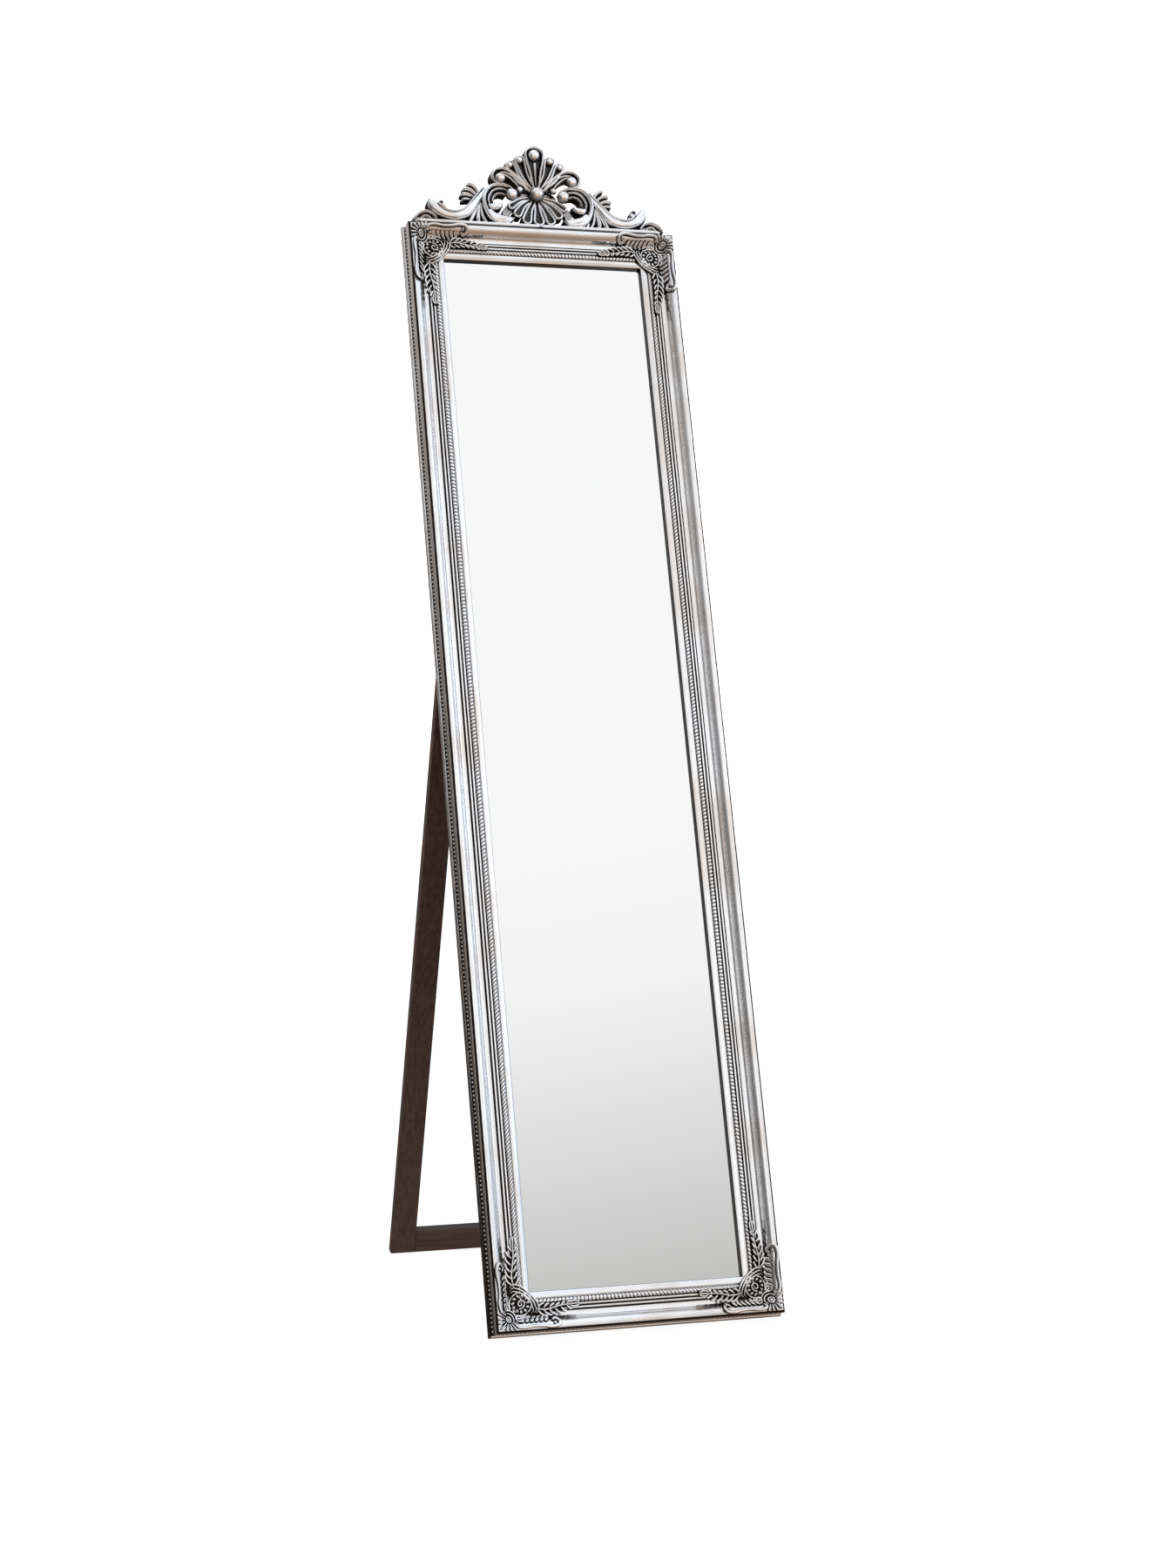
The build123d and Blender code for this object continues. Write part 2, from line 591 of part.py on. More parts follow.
with BuildPart() as corner_ornament_bottom_left:
    with BuildSketch(CORNER) as shell:
        with Locations(SHELL[:2]):
            Circle(SHELL[2])
    extrude(shell.sketch, amount=relief_height)
    for start, end in ORNAMENT_BARS:
        tapered_bar(CORNER, start, end, relief_height)
        tapered_bar(CORNER, swapped(start), swapped(end), relief_height)
    add(relief_space.part, mode=Mode.INTERSECT)
    for knob in (SHELL_HUB, CARTOUCHE_BOSS, CURL_KNOB, swapped(CURL_KNOB)):
        with Locations(CORNER.from_local_coords(Vector(knob[0], knob[1], knob[3]))):
            Sphere(knob[2])
    for piece in (left_stile, bottom_rail, *rope_trims):
        add(piece.part, mode=Mode.SUBTRACT)
corner_ornament_bottom_left.part.label = "corner_ornament_bottom_left"

half_way = FRAME.from_local_coords(Vector(0, FRAME_HEIGHT / 2, 0))
MIDDLE = Plane(origin=half_way, x_dir=FRAME.x_dir, z_dir=FRAME.y_dir)

with BuildPart() as corner_ornament_bottom_right:
    mirror(corner_ornament_bottom_left.part, about=Plane.YZ)
corner_ornament_bottom_right.part.label = "corner_ornament_bottom_right"

with BuildPart() as corner_ornament_top_left:
    mirror(corner_ornament_bottom_left.part, about=MIDDLE)
corner_ornament_top_left.part.label = "corner_ornament_top_left"

with BuildPart() as corner_ornament_top_right:
    mirror(corner_ornament_top_left.part, about=Plane.YZ)
corner_ornament_top_right.part.label = "corner_ornament_top_right"

# Hinges: the fixed leaf has the outer knuckles, and the strut's leaf the middle one

outer_start = KNUCKLE_LENGTH / 2 + KNUCKLE_GAP
outer_spans = ((-HINGE_LENGTH / 2, -outer_start), (outer_start, HINGE_LENGTH / 2))
middle_span = ((-KNUCKLE_LENGTH / 2, KNUCKLE_LENGTH / 2),)
hinges = []
for side, across in SIDES.items():
    hinges.append(
        hinge_leaf(
            f"hinge_frame_leaf_{side}", HINGE, across, axis_gap - LEAF_THICKNESS,
            PIN_RADIUS, outer_spans, hinge_frame_screws,
        )
    )
    hinges.append(
        hinge_leaf(
            f"hinge_strut_leaf_{side}", STRUT, across, strut_front,
            PIN_RADIUS + PIN_CLEARANCE, middle_span, hinge_strut_screws,
        )
    )
    pin_middle = HINGE.from_local_coords(Vector(across * hinge_offset, 0, 0))
    with BuildPart() as hinge_pin:
        with BuildSketch(Plane(origin=pin_middle, x_dir=HINGE.y_dir, z_dir=HINGE.x_dir)) as shank:
            Circle(PIN_RADIUS)
        extrude(shank.sketch, amount=HINGE_LENGTH / 2 + PIN_HEAD, both=True)
        for end in (-1, 1):
            head_plane = Plane(origin=pin_middle, x_dir=HINGE.y_dir, z_dir=HINGE.x_dir * end)
            with BuildSketch(head_plane.offset(HINGE_LENGTH / 2)) as head:
                Circle(PIN_HEAD_RADIUS)
            extrude(head.sketch, amount=PIN_HEAD)
    hinge_pin.part.label = f"hinge_pin_{side}"
    hinges.append(hinge_pin)

# Strut: two side rails with bevelled heads, joined by a top and a bottom rail

side_middle = (STRUT_HEAD - strut_length) / 2
side_length = STRUT_HEAD + strut_length
strut_sockets = (strut_dowels, hinge_strut_screws)
strut_left_rail = strut_bar(
    "strut_left_rail", (-hinge_offset, side_middle), STRUT_RAIL, side_length, STRUT.y_dir, strut_sockets
)
strut_right_rail = strut_bar(
    "strut_right_rail", (hinge_offset, side_middle), STRUT_RAIL, side_length, STRUT.y_dir, strut_sockets
)
top_middle = (0, STRUT_HEAD - STRUT_RAIL / 2)
bottom_middle = (0, STRUT_RAIL / 2 - strut_length)
strut_top_rail = strut_bar(
    "strut_top_rail", top_middle, 2 * strut_inner, STRUT_RAIL, STRUT.x_dir, strut_sockets
)
strut_bottom_rail = strut_bar(
    "strut_bottom_rail", bottom_middle, 2 * strut_inner, STRUT_RAIL, STRUT.x_dir, strut_sockets
)

os.makedirs("parts", exist_ok=True)
pieces = (
    left_stile, right_stile, top_rail, bottom_rail, *rope_trims, *bead_trims,
    corner_ornament_bottom_left, corner_ornament_bottom_right,
    corner_ornament_top_left, corner_ornament_top_right,
    crest, crest_dowels, mirror_glass, back_panel, panel_points, mitre_nails,
    *hinges, hinge_frame_screws, hinge_strut_screws,
    strut_left_rail, strut_right_rail, strut_top_rail, strut_bottom_rail, strut_dowels,
)
for piece in pieces:
    export_step(piece.part, f"parts/{piece.part.label}.step")
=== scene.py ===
from math import ceil, cos, pi, radians, sin

import bmesh
import bpy
import numpy as np
from mathutils import Matrix, Vector


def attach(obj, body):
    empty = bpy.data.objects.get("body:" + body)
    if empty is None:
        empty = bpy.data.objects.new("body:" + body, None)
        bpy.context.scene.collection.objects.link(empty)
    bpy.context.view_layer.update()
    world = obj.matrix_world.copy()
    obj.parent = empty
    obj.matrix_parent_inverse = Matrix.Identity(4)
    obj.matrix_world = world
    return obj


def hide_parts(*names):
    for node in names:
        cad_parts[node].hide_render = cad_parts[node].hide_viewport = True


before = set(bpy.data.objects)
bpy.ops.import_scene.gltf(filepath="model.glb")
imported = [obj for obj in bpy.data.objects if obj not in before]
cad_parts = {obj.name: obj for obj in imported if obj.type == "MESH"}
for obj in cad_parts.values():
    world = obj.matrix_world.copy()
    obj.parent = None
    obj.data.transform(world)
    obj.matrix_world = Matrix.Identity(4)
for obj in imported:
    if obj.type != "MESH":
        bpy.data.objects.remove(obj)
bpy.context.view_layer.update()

# A leaning floor mirror: silver-leafed moulding, rope and pearl runs, carved corners and a pierced crest.
# Ornament is drawn in millimetres on the frame's own plane: x to the right, y up from its lower edge and
# z out of its face.

MM = 0.001

# Frame: the solid model's section, with a few of its edges moved by up to 2.5 mm
FRAME_WIDTH = 455.0
FRAME_HEIGHT = 1754.0
FRAME_DEPTH = 42.0
BAND_DEPTH = 14.0
BAND_CROWN = 1.5
GROOVE_DEPTH = 5.0
GROOVE_FRONT = 23.0
GROOVE_LIP = 3.8
SIDE_FLARE = 4.0
NOSE_RADIUS = 4.5
OGEE_START = 11.0
OGEE_END = 31.0
OGEE_FOOT = 27.0
FILLETS = ((33.8, 36.3), (39.0, 41.6))
FILLET_LEVEL = 29.5
QUIRK_LEVEL = 27.0
ROPE_START = 42.0
ROPE_END = 52.0
ROPE_RISE = 4.0
BORDER = 61.5
SIGHT_LEVEL = 27.0
SIGHT_CROWN = 0.8
GLASS_FRONT = 20.5
GLASS_BACK = 16.5
GLASS_MARGIN = 55.0
REBATE_WALL = 54.0
BEAD_LEVEL = 18.5
CREST_BACK = 10.0
SIDES = ("left", "right", "top", "bottom")


# The frame's plane, read from the glass


def glass_axes():
    """Right, up and out of the glass, and the middle of its lower back edge."""
    places = np.array([v.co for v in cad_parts["mirror_glass"].data.vertices])
    up = np.linalg.svd(places - places.mean(0))[2][0]
    up = up * np.sign(up[2])
    right = np.array((1.0, 0.0, 0.0))
    out = np.cross(right, up)
    foot = up * (places @ up).min() + out * (places @ out).min()
    return right, up, out, foot


RIGHT, UP, OUT, GLASS_FOOT = glass_axes()
ORIGIN = GLASS_FOOT - UP * GLASS_MARGIN * MM - OUT * GLASS_BACK * MM


def to_world(places):
    """Places on the frame in millimetres, as metres in the shared frame, none below the floor."""
    places = np.asarray(places, float) * MM
    world = ORIGIN + places[:, :1] * RIGHT + places[:, 1:2] * UP + places[:, 2:3] * OUT
    world[:, 2] = np.maximum(world[:, 2], 0.0)
    return world


def on_rail(side, across, along, level):
    """Places on one rail: across inwards from its outer edge, along from its middle, level from the back."""
    across, along, level = np.broadcast_arrays(across, along, level)
    half_width, middle = FRAME_WIDTH / 2, FRAME_HEIGHT / 2
    x, y = {
        "left": (across - half_width, middle + along),
        "right": (half_width - across, middle - along),
        "top": (along, FRAME_HEIGHT - across),
        "bottom": (-along, across),
    }[side]
    return np.stack([x, y, level], -1)


def rail_length(side):
    return FRAME_HEIGHT if side in ("left", "right") else FRAME_WIDTH


# Shells: closed skins that together make one piece


class Shells:
    """Closed skins in millimetres, gathered into one mesh."""

    def __init__(self):
        self.points = []
        self.faces = []
        self.wax = []
        self.size = 0
        self.relief = []

    def add(self, grid, wax=0.0, closed=False):
        """A skin from rings of points; an open run of rings is capped at both ends."""
        rings, ring = grid.shape[:2]
        index = self.size + np.arange(rings * ring).reshape(rings, ring)
        following = np.roll(index, -1, 0) if closed else index[1:]
        first = index if closed else index[:-1]
        quads = np.stack([first, np.roll(first, -1, 1), np.roll(following, -1, 1), following], -1)
        self.faces += quads.reshape(-1, 4).tolist()
        if not closed:
            self.faces += [index[0].tolist(), index[-1].tolist()]
        self.points.append(grid.reshape(-1, 3))
        self.wax.append(np.broadcast_to(wax, grid.shape[:2]).reshape(-1))
        self.size += rings * ring
        self.relief.append(grid)

    def mirrored(self, swap):
        """Adds a copy of every skin, with its points changed by a function."""
        for points, wax in zip(list(self.points), list(self.wax)):
            self.points.append(swap(points))
            self.wax.append(wax)
        self.faces += [[corner + self.size for corner in face] for face in self.faces]
        self.relief += [swap(grid.reshape(-1, 3)).reshape(grid.shape) for grid in self.relief]
        self.size *= 2

    def all_points(self):
        return np.concatenate(self.points)

    def all_wax(self):
        return np.concatenate(self.wax)


SPAN_STEPS = 12
LEAST_STEPS = 6


def curve_through(points, closed, step):
    """A smooth curve through points of any number of values, evenly spaced over its first two."""
    points = np.array(points, float)
    if closed:
        padded = np.vstack([points[-1], points, points[:2]])
    else:
        padded = np.vstack([2 * points[0] - points[1], points, 2 * points[-1] - points[-2]])
    t = np.linspace(0, 1, SPAN_STEPS, endpoint=False)[:, None]
    spans = []
    for a, b, c, d in zip(padded, padded[1:], padded[2:], padded[3:]):
        spans.append(b + t / 2 * (c - a + t * (2 * a - 5 * b + 4 * c - d + t * (3 * (b - c) + d - a))))
    fine = np.vstack([*spans, padded[-2][None]])
    run = np.append(0, np.cumsum(np.linalg.norm(np.diff(fine[:, :2], axis=0), axis=1)))
    count = max(LEAST_STEPS, ceil(run[-1] / step))
    places = np.linspace(0, run[-1], count + 1)
    if closed:
        places = places[:-1]
    return np.column_stack([np.interp(places, run, column) for column in fine.T])


def round_section(steps=9):
    """Places across a strap from -1 to 1, with the rise of a half round."""
    angle = np.linspace(pi, 0, steps)
    return np.cos(angle), np.sin(angle)


def flat_section(steps=11):
    """A nearly flat strap with soft edges."""
    across = np.sin(np.linspace(-pi / 2, pi / 2, steps))
    return across, (1 - across**6) ** 0.5


# Least half width that an end is rounded over, and what is left of the width at the very end, squared
LEAST_HALF = 0.3
TIP_SHARE = 0.004
# How fast the wax and painted shade along a strap's edges fade towards its crown
EDGE_POWER = 1.5


def strap(
    shells, path, section, floor=0.0, wall=0.55, closed=False, step=1.4, wax=0.0, edge_wax_and_shade=0.0, lined=False
):
    """A strap along a path of (x, y, half width, top), standing on the floor level with upright walls.

    An open strap has rounded ends. Wax lies evenly on it, and wax with painted shade lies along its edges,
    fading towards its crown. A lined strap has as many points below as above, so that it can be bent.
    """
    stations = curve_through(path, closed, step)
    place, half, top = stations[:, :2], stations[:, 2:3], stations[:, 3:4]
    if closed:
        tangent = np.roll(place, -1, 0) - np.roll(place, 1, 0)
    else:
        tangent = np.gradient(place, axis=0)
    tangent /= np.maximum(np.linalg.norm(tangent, axis=1, keepdims=True), 1e-9)
    normal = np.stack([-tangent[:, 1], tangent[:, 0]], 1)
    dome = np.ones_like(half)
    if not closed:
        run = np.append(0, np.cumsum(np.linalg.norm(np.diff(place, axis=0), axis=1)))[:, None]
        for distance in (run, run[-1] - run):
            near = np.clip(distance / np.maximum(half, LEAST_HALF), 0, 1)
            dome = dome * np.sqrt(np.maximum(1 - (1 - near) ** 2, TIP_SHARE))
    across, rise = section
    wide = half * dome * across
    level = floor + (top - floor) * (wall + (1 - wall) * rise * dome)
    under = wide[:, ::-1] if lined else wide[:, (-1, 0)]
    spread = np.hstack([wide, under])
    x = place[:, :1] + normal[:, :1] * spread
    y = place[:, 1:] + normal[:, 1:] * spread
    z = np.hstack([level, np.full_like(under, floor)])
    # Painted shade: a strap's walls and rounded edges darken as if in shade, together with the wax at its
    # foot
    fade = np.append((1 - rise) ** EDGE_POWER, np.ones(under.shape[1]))
    shade = np.maximum(wax, edge_wax_and_shade * fade) + np.zeros_like(x)
    shells.add(np.stack([x, y, z], -1), shade, closed)


# Painted shade on the rim of every ball, leaving its crown bright
BALL_RIM_SHADE = 0.9


def ball(shells, x, y, z, radius, turns=18, rings=12):
    """A ball with painted shade towards its rim."""
    height = np.linspace(0.02 * pi, 0.98 * pi, rings)[:, None]
    turn = np.linspace(0, 2 * pi, turns, endpoint=False)
    ring = radius * np.sin(height)
    level = z + radius * np.cos(height) + 0 * turn
    # Painted shade: darkest round the ball's rim
    rim = np.clip(1.1 * ring / radius - 0.35, 0, 1) ** EDGE_POWER + 0 * turn
    grid = np.stack([x + ring * np.cos(turn), y + ring * np.sin(turn), level], -1)
    shells.add(grid, BALL_RIM_SHADE * rim)


def settle_wax(shells, reach, depth, cell=0.7):
    """Dark wax for each point: how far it lies below the average relief around it."""
    points = shells.all_points()
    margin = 6 * reach
    low = points[:, :2].min(0) - margin
    size = np.ceil((points[:, :2].max(0) + margin - low) / cell).astype(int)
    heights = np.zeros(size)
    for grid in shells.relief:
        rings, ring = grid.shape[:2]
        dense = grid
        for axis, count in ((0, rings), (1, ring)):
            before, after = np.take(dense, range(count - 1), axis), np.take(dense, range(1, count), axis)
            dense = np.concatenate([dense, (after + before) / 2], axis)
        cells = ((dense[..., :2] - low) / cell).astype(int).reshape(-1, 2)
        np.maximum.at(heights, (cells[:, 0], cells[:, 1]), dense[..., 2].reshape(-1))
    waves = [np.fft.fftfreq(size[0])[:, None], np.fft.rfftfreq(size[1])[None, :]]
    blur = np.exp(-2 * (pi * reach / cell) ** 2 * (waves[0] ** 2 + waves[1] ** 2))
    average = np.fft.irfft2(np.fft.rfft2(heights) * blur, size)
    cells = ((points[:, :2] - low) / cell).astype(int)
    return np.clip((average[cells[:, 0], cells[:, 1]] - points[:, 2]) / depth, 0, 1)


FACES_BACK = 0.8


def make_piece(name, points, faces, wax, materials, node, sharp=38.0, body="frame"):
    """One shown piece that stands for a solid; faces that look backwards take the second material."""
    mesh = bpy.data.meshes.new(name)
    mesh.from_pydata(points.tolist(), [], faces)
    edit = bmesh.new()
    edit.from_mesh(mesh)
    bmesh.ops.recalc_face_normals(edit, faces=edit.faces)
    edit.to_mesh(mesh)
    edit.free()
    # The wax attribute holds dark wax in the hollows and painted shade on ball rims, ridge edges and stile
    # feet
    mesh.attributes.new("wax", "FLOAT", "POINT").data.foreach_set("value", np.asarray(wax, np.float32))
    for material in materials:
        mesh.materials.append(material)
    if len(materials) > 1:
        backwards = Vector(-OUT)
        indices = [int(face.normal.dot(backwards) > FACES_BACK) for face in mesh.polygons]
        mesh.polygons.foreach_set("material_index", indices)
    mesh.shade_smooth()
    mesh.set_sharp_from_angle(angle=radians(sharp))
    piece = bpy.data.objects.new(name, mesh)
    bpy.context.scene.collection.objects.link(piece)
    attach(piece, body)
    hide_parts(node)


def make_run(name, shells, materials, node, sharp):
    """A piece whose skins already lie in place on the frame and carry their own wax, and painted shade where
    they have it.
    """
    points = to_world(shells.all_points())
    make_piece(name, points, shells.faces, shells.all_wax(), materials, node, sharp)


# Materials


class Nodes:
    """A node tree under construction."""

    def __init__(self, tree):
        self.tree = tree

    def put(self, value, socket):
        """Links a node's output to a socket, or sets a constant on it."""
        if isinstance(value, bpy.types.NodeSocket):
            self.tree.links.new(value, socket)
        else:
            socket.default_value = value

    def tint(self, colour, socket):
        """Puts a colour, or a node's output, on a colour socket."""
        self.put((*colour, 1.0) if isinstance(colour, tuple) else colour, socket)

    def node(self, kind, **settings):
        made = self.tree.nodes.new(kind)
        for key, value in settings.items():
            setattr(made, key, value)
        return made

    def ramp(self, value, low, high, start=0.0, stop=1.0):
        """A value taken softly from low..high to start..stop."""
        made = self.node("ShaderNodeMapRange", interpolation_type="SMOOTHSTEP")
        keys = ("Value", "From Min", "From Max", "To Min", "To Max")
        for key, number in zip(keys, (value, low, high, start, stop)):
            self.put(number, made.inputs[key])
        return made.outputs["Result"]

    def math(self, operation, *values):
        made = self.node("ShaderNodeMath", operation=operation)
        for value, socket in zip(values, made.inputs):
            self.put(value, socket)
        return made.outputs[0]

    def mix(self, share, first, second):
        """A blend of two colours."""
        made = self.node("ShaderNodeMix", data_type="RGBA")
        self.put(share, made.inputs["Factor"])
        self.tint(first, made.inputs[6])
        self.tint(second, made.inputs[7])
        return made.outputs[2]


class Paint(Nodes):
    """A material under construction: one main shader and the nodes that feed it."""

    def __init__(self, name, metallic=0.0):
        self.material = bpy.data.materials.new(name)
        self.material.use_nodes = True
        super().__init__(self.material.node_tree)
        self.shader = self.tree.nodes["Principled BSDF"]
        self.put(metallic, self.shader.inputs["Metallic"])

    def attribute(self, name):
        return self.node("ShaderNodeAttribute", attribute_name=name).outputs["Fac"]

    def noise(self, scale, detail=3.0, stretch=(1, 1, 1), roughness=0.55):
        """Noise in metres on the object's own coordinates; scale is features per metre."""
        mapping = self.node("ShaderNodeMapping")
        self.put(self.node("ShaderNodeTexCoord").outputs["Object"], mapping.inputs["Vector"])
        self.put(stretch, mapping.inputs["Scale"])
        noise = self.node("ShaderNodeTexNoise")
        self.put(mapping.outputs["Vector"], noise.inputs["Vector"])
        for key, value in (("Scale", scale), ("Detail", detail), ("Roughness", roughness)):
            self.put(value, noise.inputs[key])
        return noise.outputs["Fac"]

    def bump(self, height, strength, distance):
        made = self.node("ShaderNodeBump")
        for key, value in (("Height", height), ("Strength", strength), ("Distance", distance)):
            self.put(value, made.inputs[key])
        self.put(made.outputs["Normal"], self.shader.inputs["Normal"])

    def finish(self, colour, roughness):
        self.tint(colour, self.shader.inputs["Base Color"])
        self.put(roughness, self.shader.inputs["Roughness"])
        return self.material


LEAF_COOL = (0.93, 0.935, 0.95)
LEAF_WARM = (0.82, 0.77, 0.73)
BOLE = (0.30, 0.17, 0.11)
# Colour of the dark wax, which also paints the shade that the wax attribute carries
WAX_AND_SHADE = (0.022, 0.017, 0.014)
BOLE_SHARE = 0.1
BRUSH_STAIN = 0.06
SPECK_STAIN = 0.04
LEAF_ROUGHNESS = (0.17, 0.33)
WAX_ROUGHNESS = 0.25


def silver_leaf(name, stretch):
    """Silver leaf over a warm ground, brushed along the grain, with dark wax left in the recesses, and
    painted shade on ball rims, ridge edges and the foot of the stiles.
    """
    paint = Paint(name, metallic=1.0)
    # The wax attribute holds dark wax and painted shade
    wax = paint.attribute("wax")
    broad = paint.noise(9.0, 3.0)
    brushed = paint.noise(420.0, 4.0, stretch)
    speck = paint.noise(1300.0, 2.0)
    leaf = paint.mix(paint.ramp(broad, 0.42, 0.68), LEAF_COOL, LEAF_WARM)
    leaf = paint.mix(paint.ramp(brushed, 0.6, 0.85, 0.0, BOLE_SHARE), leaf, BOLE)
    stain_and_shade = paint.math("ADD", wax, paint.ramp(brushed, 0.3, 0.75, -BRUSH_STAIN, BRUSH_STAIN))
    stain_and_shade = paint.math("ADD", stain_and_shade, paint.ramp(speck, 0.62, 0.8, 0.0, SPECK_STAIN))
    dark = paint.ramp(stain_and_shade, 0.12, 0.72)
    rough = paint.math("MULTIPLY", dark, WAX_ROUGHNESS)
    rough = paint.math("ADD", paint.ramp(brushed, 0.25, 0.75, *LEAF_ROUGHNESS), rough)
    paint.bump(paint.math("ADD", brushed, speck), 0.05, 0.0005)
    return paint.finish(paint.mix(dark, leaf, WAX_AND_SHADE), rough)


def stained_wood(name, light, dark, stretch, roughness):
    """Stained wood with its grain along the long way of the bar."""
    paint = Paint(name)
    grain = paint.noise(220.0, 5.0, stretch)
    pores = paint.noise(1500.0, 2.0, stretch)
    figure = paint.math("ADD", paint.math("MULTIPLY", grain, 0.7), paint.math("MULTIPLY", pores, 0.3))
    paint.bump(figure, 0.25, 0.0005)
    colour = paint.mix(paint.ramp(figure, 0.36, 0.66), dark, light)
    return paint.finish(colour, paint.ramp(grain, 0.3, 0.7, roughness - 0.08, roughness + 0.1))


BOARD_FELT = ((0.17, 0.095, 0.05), (0.31, 0.19, 0.105))
BOARD_CLOUD = (0.13, 0.075, 0.04)
GLASS_TINT = (0.95, 0.955, 0.955)


def fibre_board():
    """Brown board of pressed fibres, with darker clouds."""
    paint = Paint("fibre_board")
    felt = paint.noise(700.0, 5.0, roughness=0.7)
    cloud = paint.noise(14.0, 3.0)
    colour = paint.mix(paint.ramp(felt, 0.35, 0.7), *BOARD_FELT)
    colour = paint.mix(paint.ramp(cloud, 0.4, 0.7, 0.0, 0.4), colour, BOARD_CLOUD)
    paint.bump(felt, 0.35, 0.0006)
    return paint.finish(colour, paint.ramp(felt, 0.3, 0.7, 0.6, 0.85))


def silvered_glass():
    """Mirror glass: faint haze and a slightly cool tint."""
    paint = Paint("silvered_glass", metallic=1.0)
    haze = paint.noise(5.0, 2.0)
    return paint.finish(GLASS_TINT, paint.ramp(haze, 0.35, 0.75, 0.004, 0.012))


def worked_metal(name, light, dark, roughness):
    """Plain hardware: rubbed metal with duller patches."""
    paint = Paint(name, metallic=1.0)
    rubbed = paint.noise(500.0, 4.0, (1, 8, 8))
    dull = paint.noise(90.0, 3.0)
    colour = paint.mix(paint.ramp(dull, 0.35, 0.7), light, dark)
    paint.bump(rubbed, 0.15, 0.0002)
    return paint.finish(colour, paint.ramp(rubbed, 0.3, 0.7, roughness - 0.1, roughness + 0.12))


UPRIGHT_GRAIN = (1.0, 1.0, 0.05)
LEVEL_GRAIN = (0.05, 1.0, 1.0)
SILVER_UPRIGHT = silver_leaf("silver_leaf_upright", UPRIGHT_GRAIN)
SILVER_LEVEL = silver_leaf("silver_leaf_level", LEVEL_GRAIN)
SILVER_CAST = silver_leaf("silver_leaf_cast", (1.0, 1.0, 1.0))
# Woods as a light and a dark colour
ESPRESSO = ((0.06, 0.026, 0.018), (0.032, 0.013, 0.009))
BEECH = ((0.62, 0.45, 0.27), (0.45, 0.3, 0.17))
BLACKENED = ((0.06, 0.045, 0.038), (0.03, 0.022, 0.018))
WOOD_UPRIGHT = stained_wood("dark_wood_upright", *ESPRESSO, UPRIGHT_GRAIN, 0.42)
WOOD_LEVEL = stained_wood("dark_wood_level", *ESPRESSO, LEVEL_GRAIN, 0.42)
PEG_WOOD = stained_wood("peg_wood", *BEECH, LEVEL_GRAIN, 0.6)
BACK_PAINT = stained_wood("back_paint", *BLACKENED, UPRIGHT_GRAIN, 0.62)


# Moulding

# Most of a side that a rounding takes up, and the reach below which a corner stays sharp
ROUND_SHARE = 0.45
LEAST_ROUND = 0.05


def rounded(corners, steps=4):
    """Corners of (across, level, radius, wax) as a line with each corner rounded off."""
    line = []
    for before, corner, after in zip(corners[-1:] + corners[:-1], corners, corners[1:] + corners[:1]):
        here = np.array(corner[:2])
        ways = [np.array(other[:2]) - here for other in (before, after)]
        lengths = [np.linalg.norm(way) for way in ways]
        reach = min(corner[2], ROUND_SHARE * min(lengths))
        if reach < LEAST_ROUND:
            line.append((*here, corner[3]))
            continue
        start, stop = (here + way / length * reach for way, length in zip(ways, lengths))
        for t in np.linspace(0, 1, steps):
            place = (1 - t) ** 2 * start + 2 * t * (1 - t) * here + t**2 * stop
            line.append((*place, corner[3]))
    return np.array(line)


# Wax on the parts of the moulding, and painted shade on a stile's outer side near the floor
CLEAN = 0.0
THIN_WAX = 0.1
LIP_WAX = 0.2
BAND_WAX = 0.25
CHANNEL_WAX = (0.75, 0.4)
REBATE_WAX = 0.6
# Painted shade on a stile's outer side at its foot
FOOT_SHADE = 0.7
SIDE_WAX = 0.75
QUIRK_WAX = 0.8
SIGHT_WAX = 0.9
DEEP_WAX = 1.0
# Roundings of the moulding's corners
CRISP = 0.1
FINE = 0.4
SOFT = 0.6
EASED = 0.8
QUIRK_DROP = 0.8
SIGHT_DROP = 0.7
# Place across the ogee, and its fall there as a share of the steepest
OGEE_FALL = ((0.0, 0.0), (0.5, 1.0), (0.74, 0.06), (1.0, 0.0))


def ogee_level(across):
    """Front of the ogee: a round shoulder, a tight hollow and a nearly flat shelf."""
    t = np.linspace(0, 1, 201)
    fallen = np.cumsum(np.interp(t, *zip(*OGEE_FALL)))
    share = np.interp((across - OGEE_START) / (OGEE_END - OGEE_START), t, fallen / fallen[-1])
    return FRAME_DEPTH - (FRAME_DEPTH - OGEE_FOOT) * share


def nose_corner(turn):
    """One place on the nose: wax covers its outer half, and thins again where it turns to the side."""
    wax = SIDE_WAX * np.clip(5 * sin(turn) - 0.5, 0, 1 - 4 * max(sin(turn) - 0.85, 0))
    across = SIDE_FLARE + NOSE_RADIUS * (1 - sin(turn))
    return across, FRAME_DEPTH - NOSE_RADIUS * (1 - cos(turn)), 0, wax


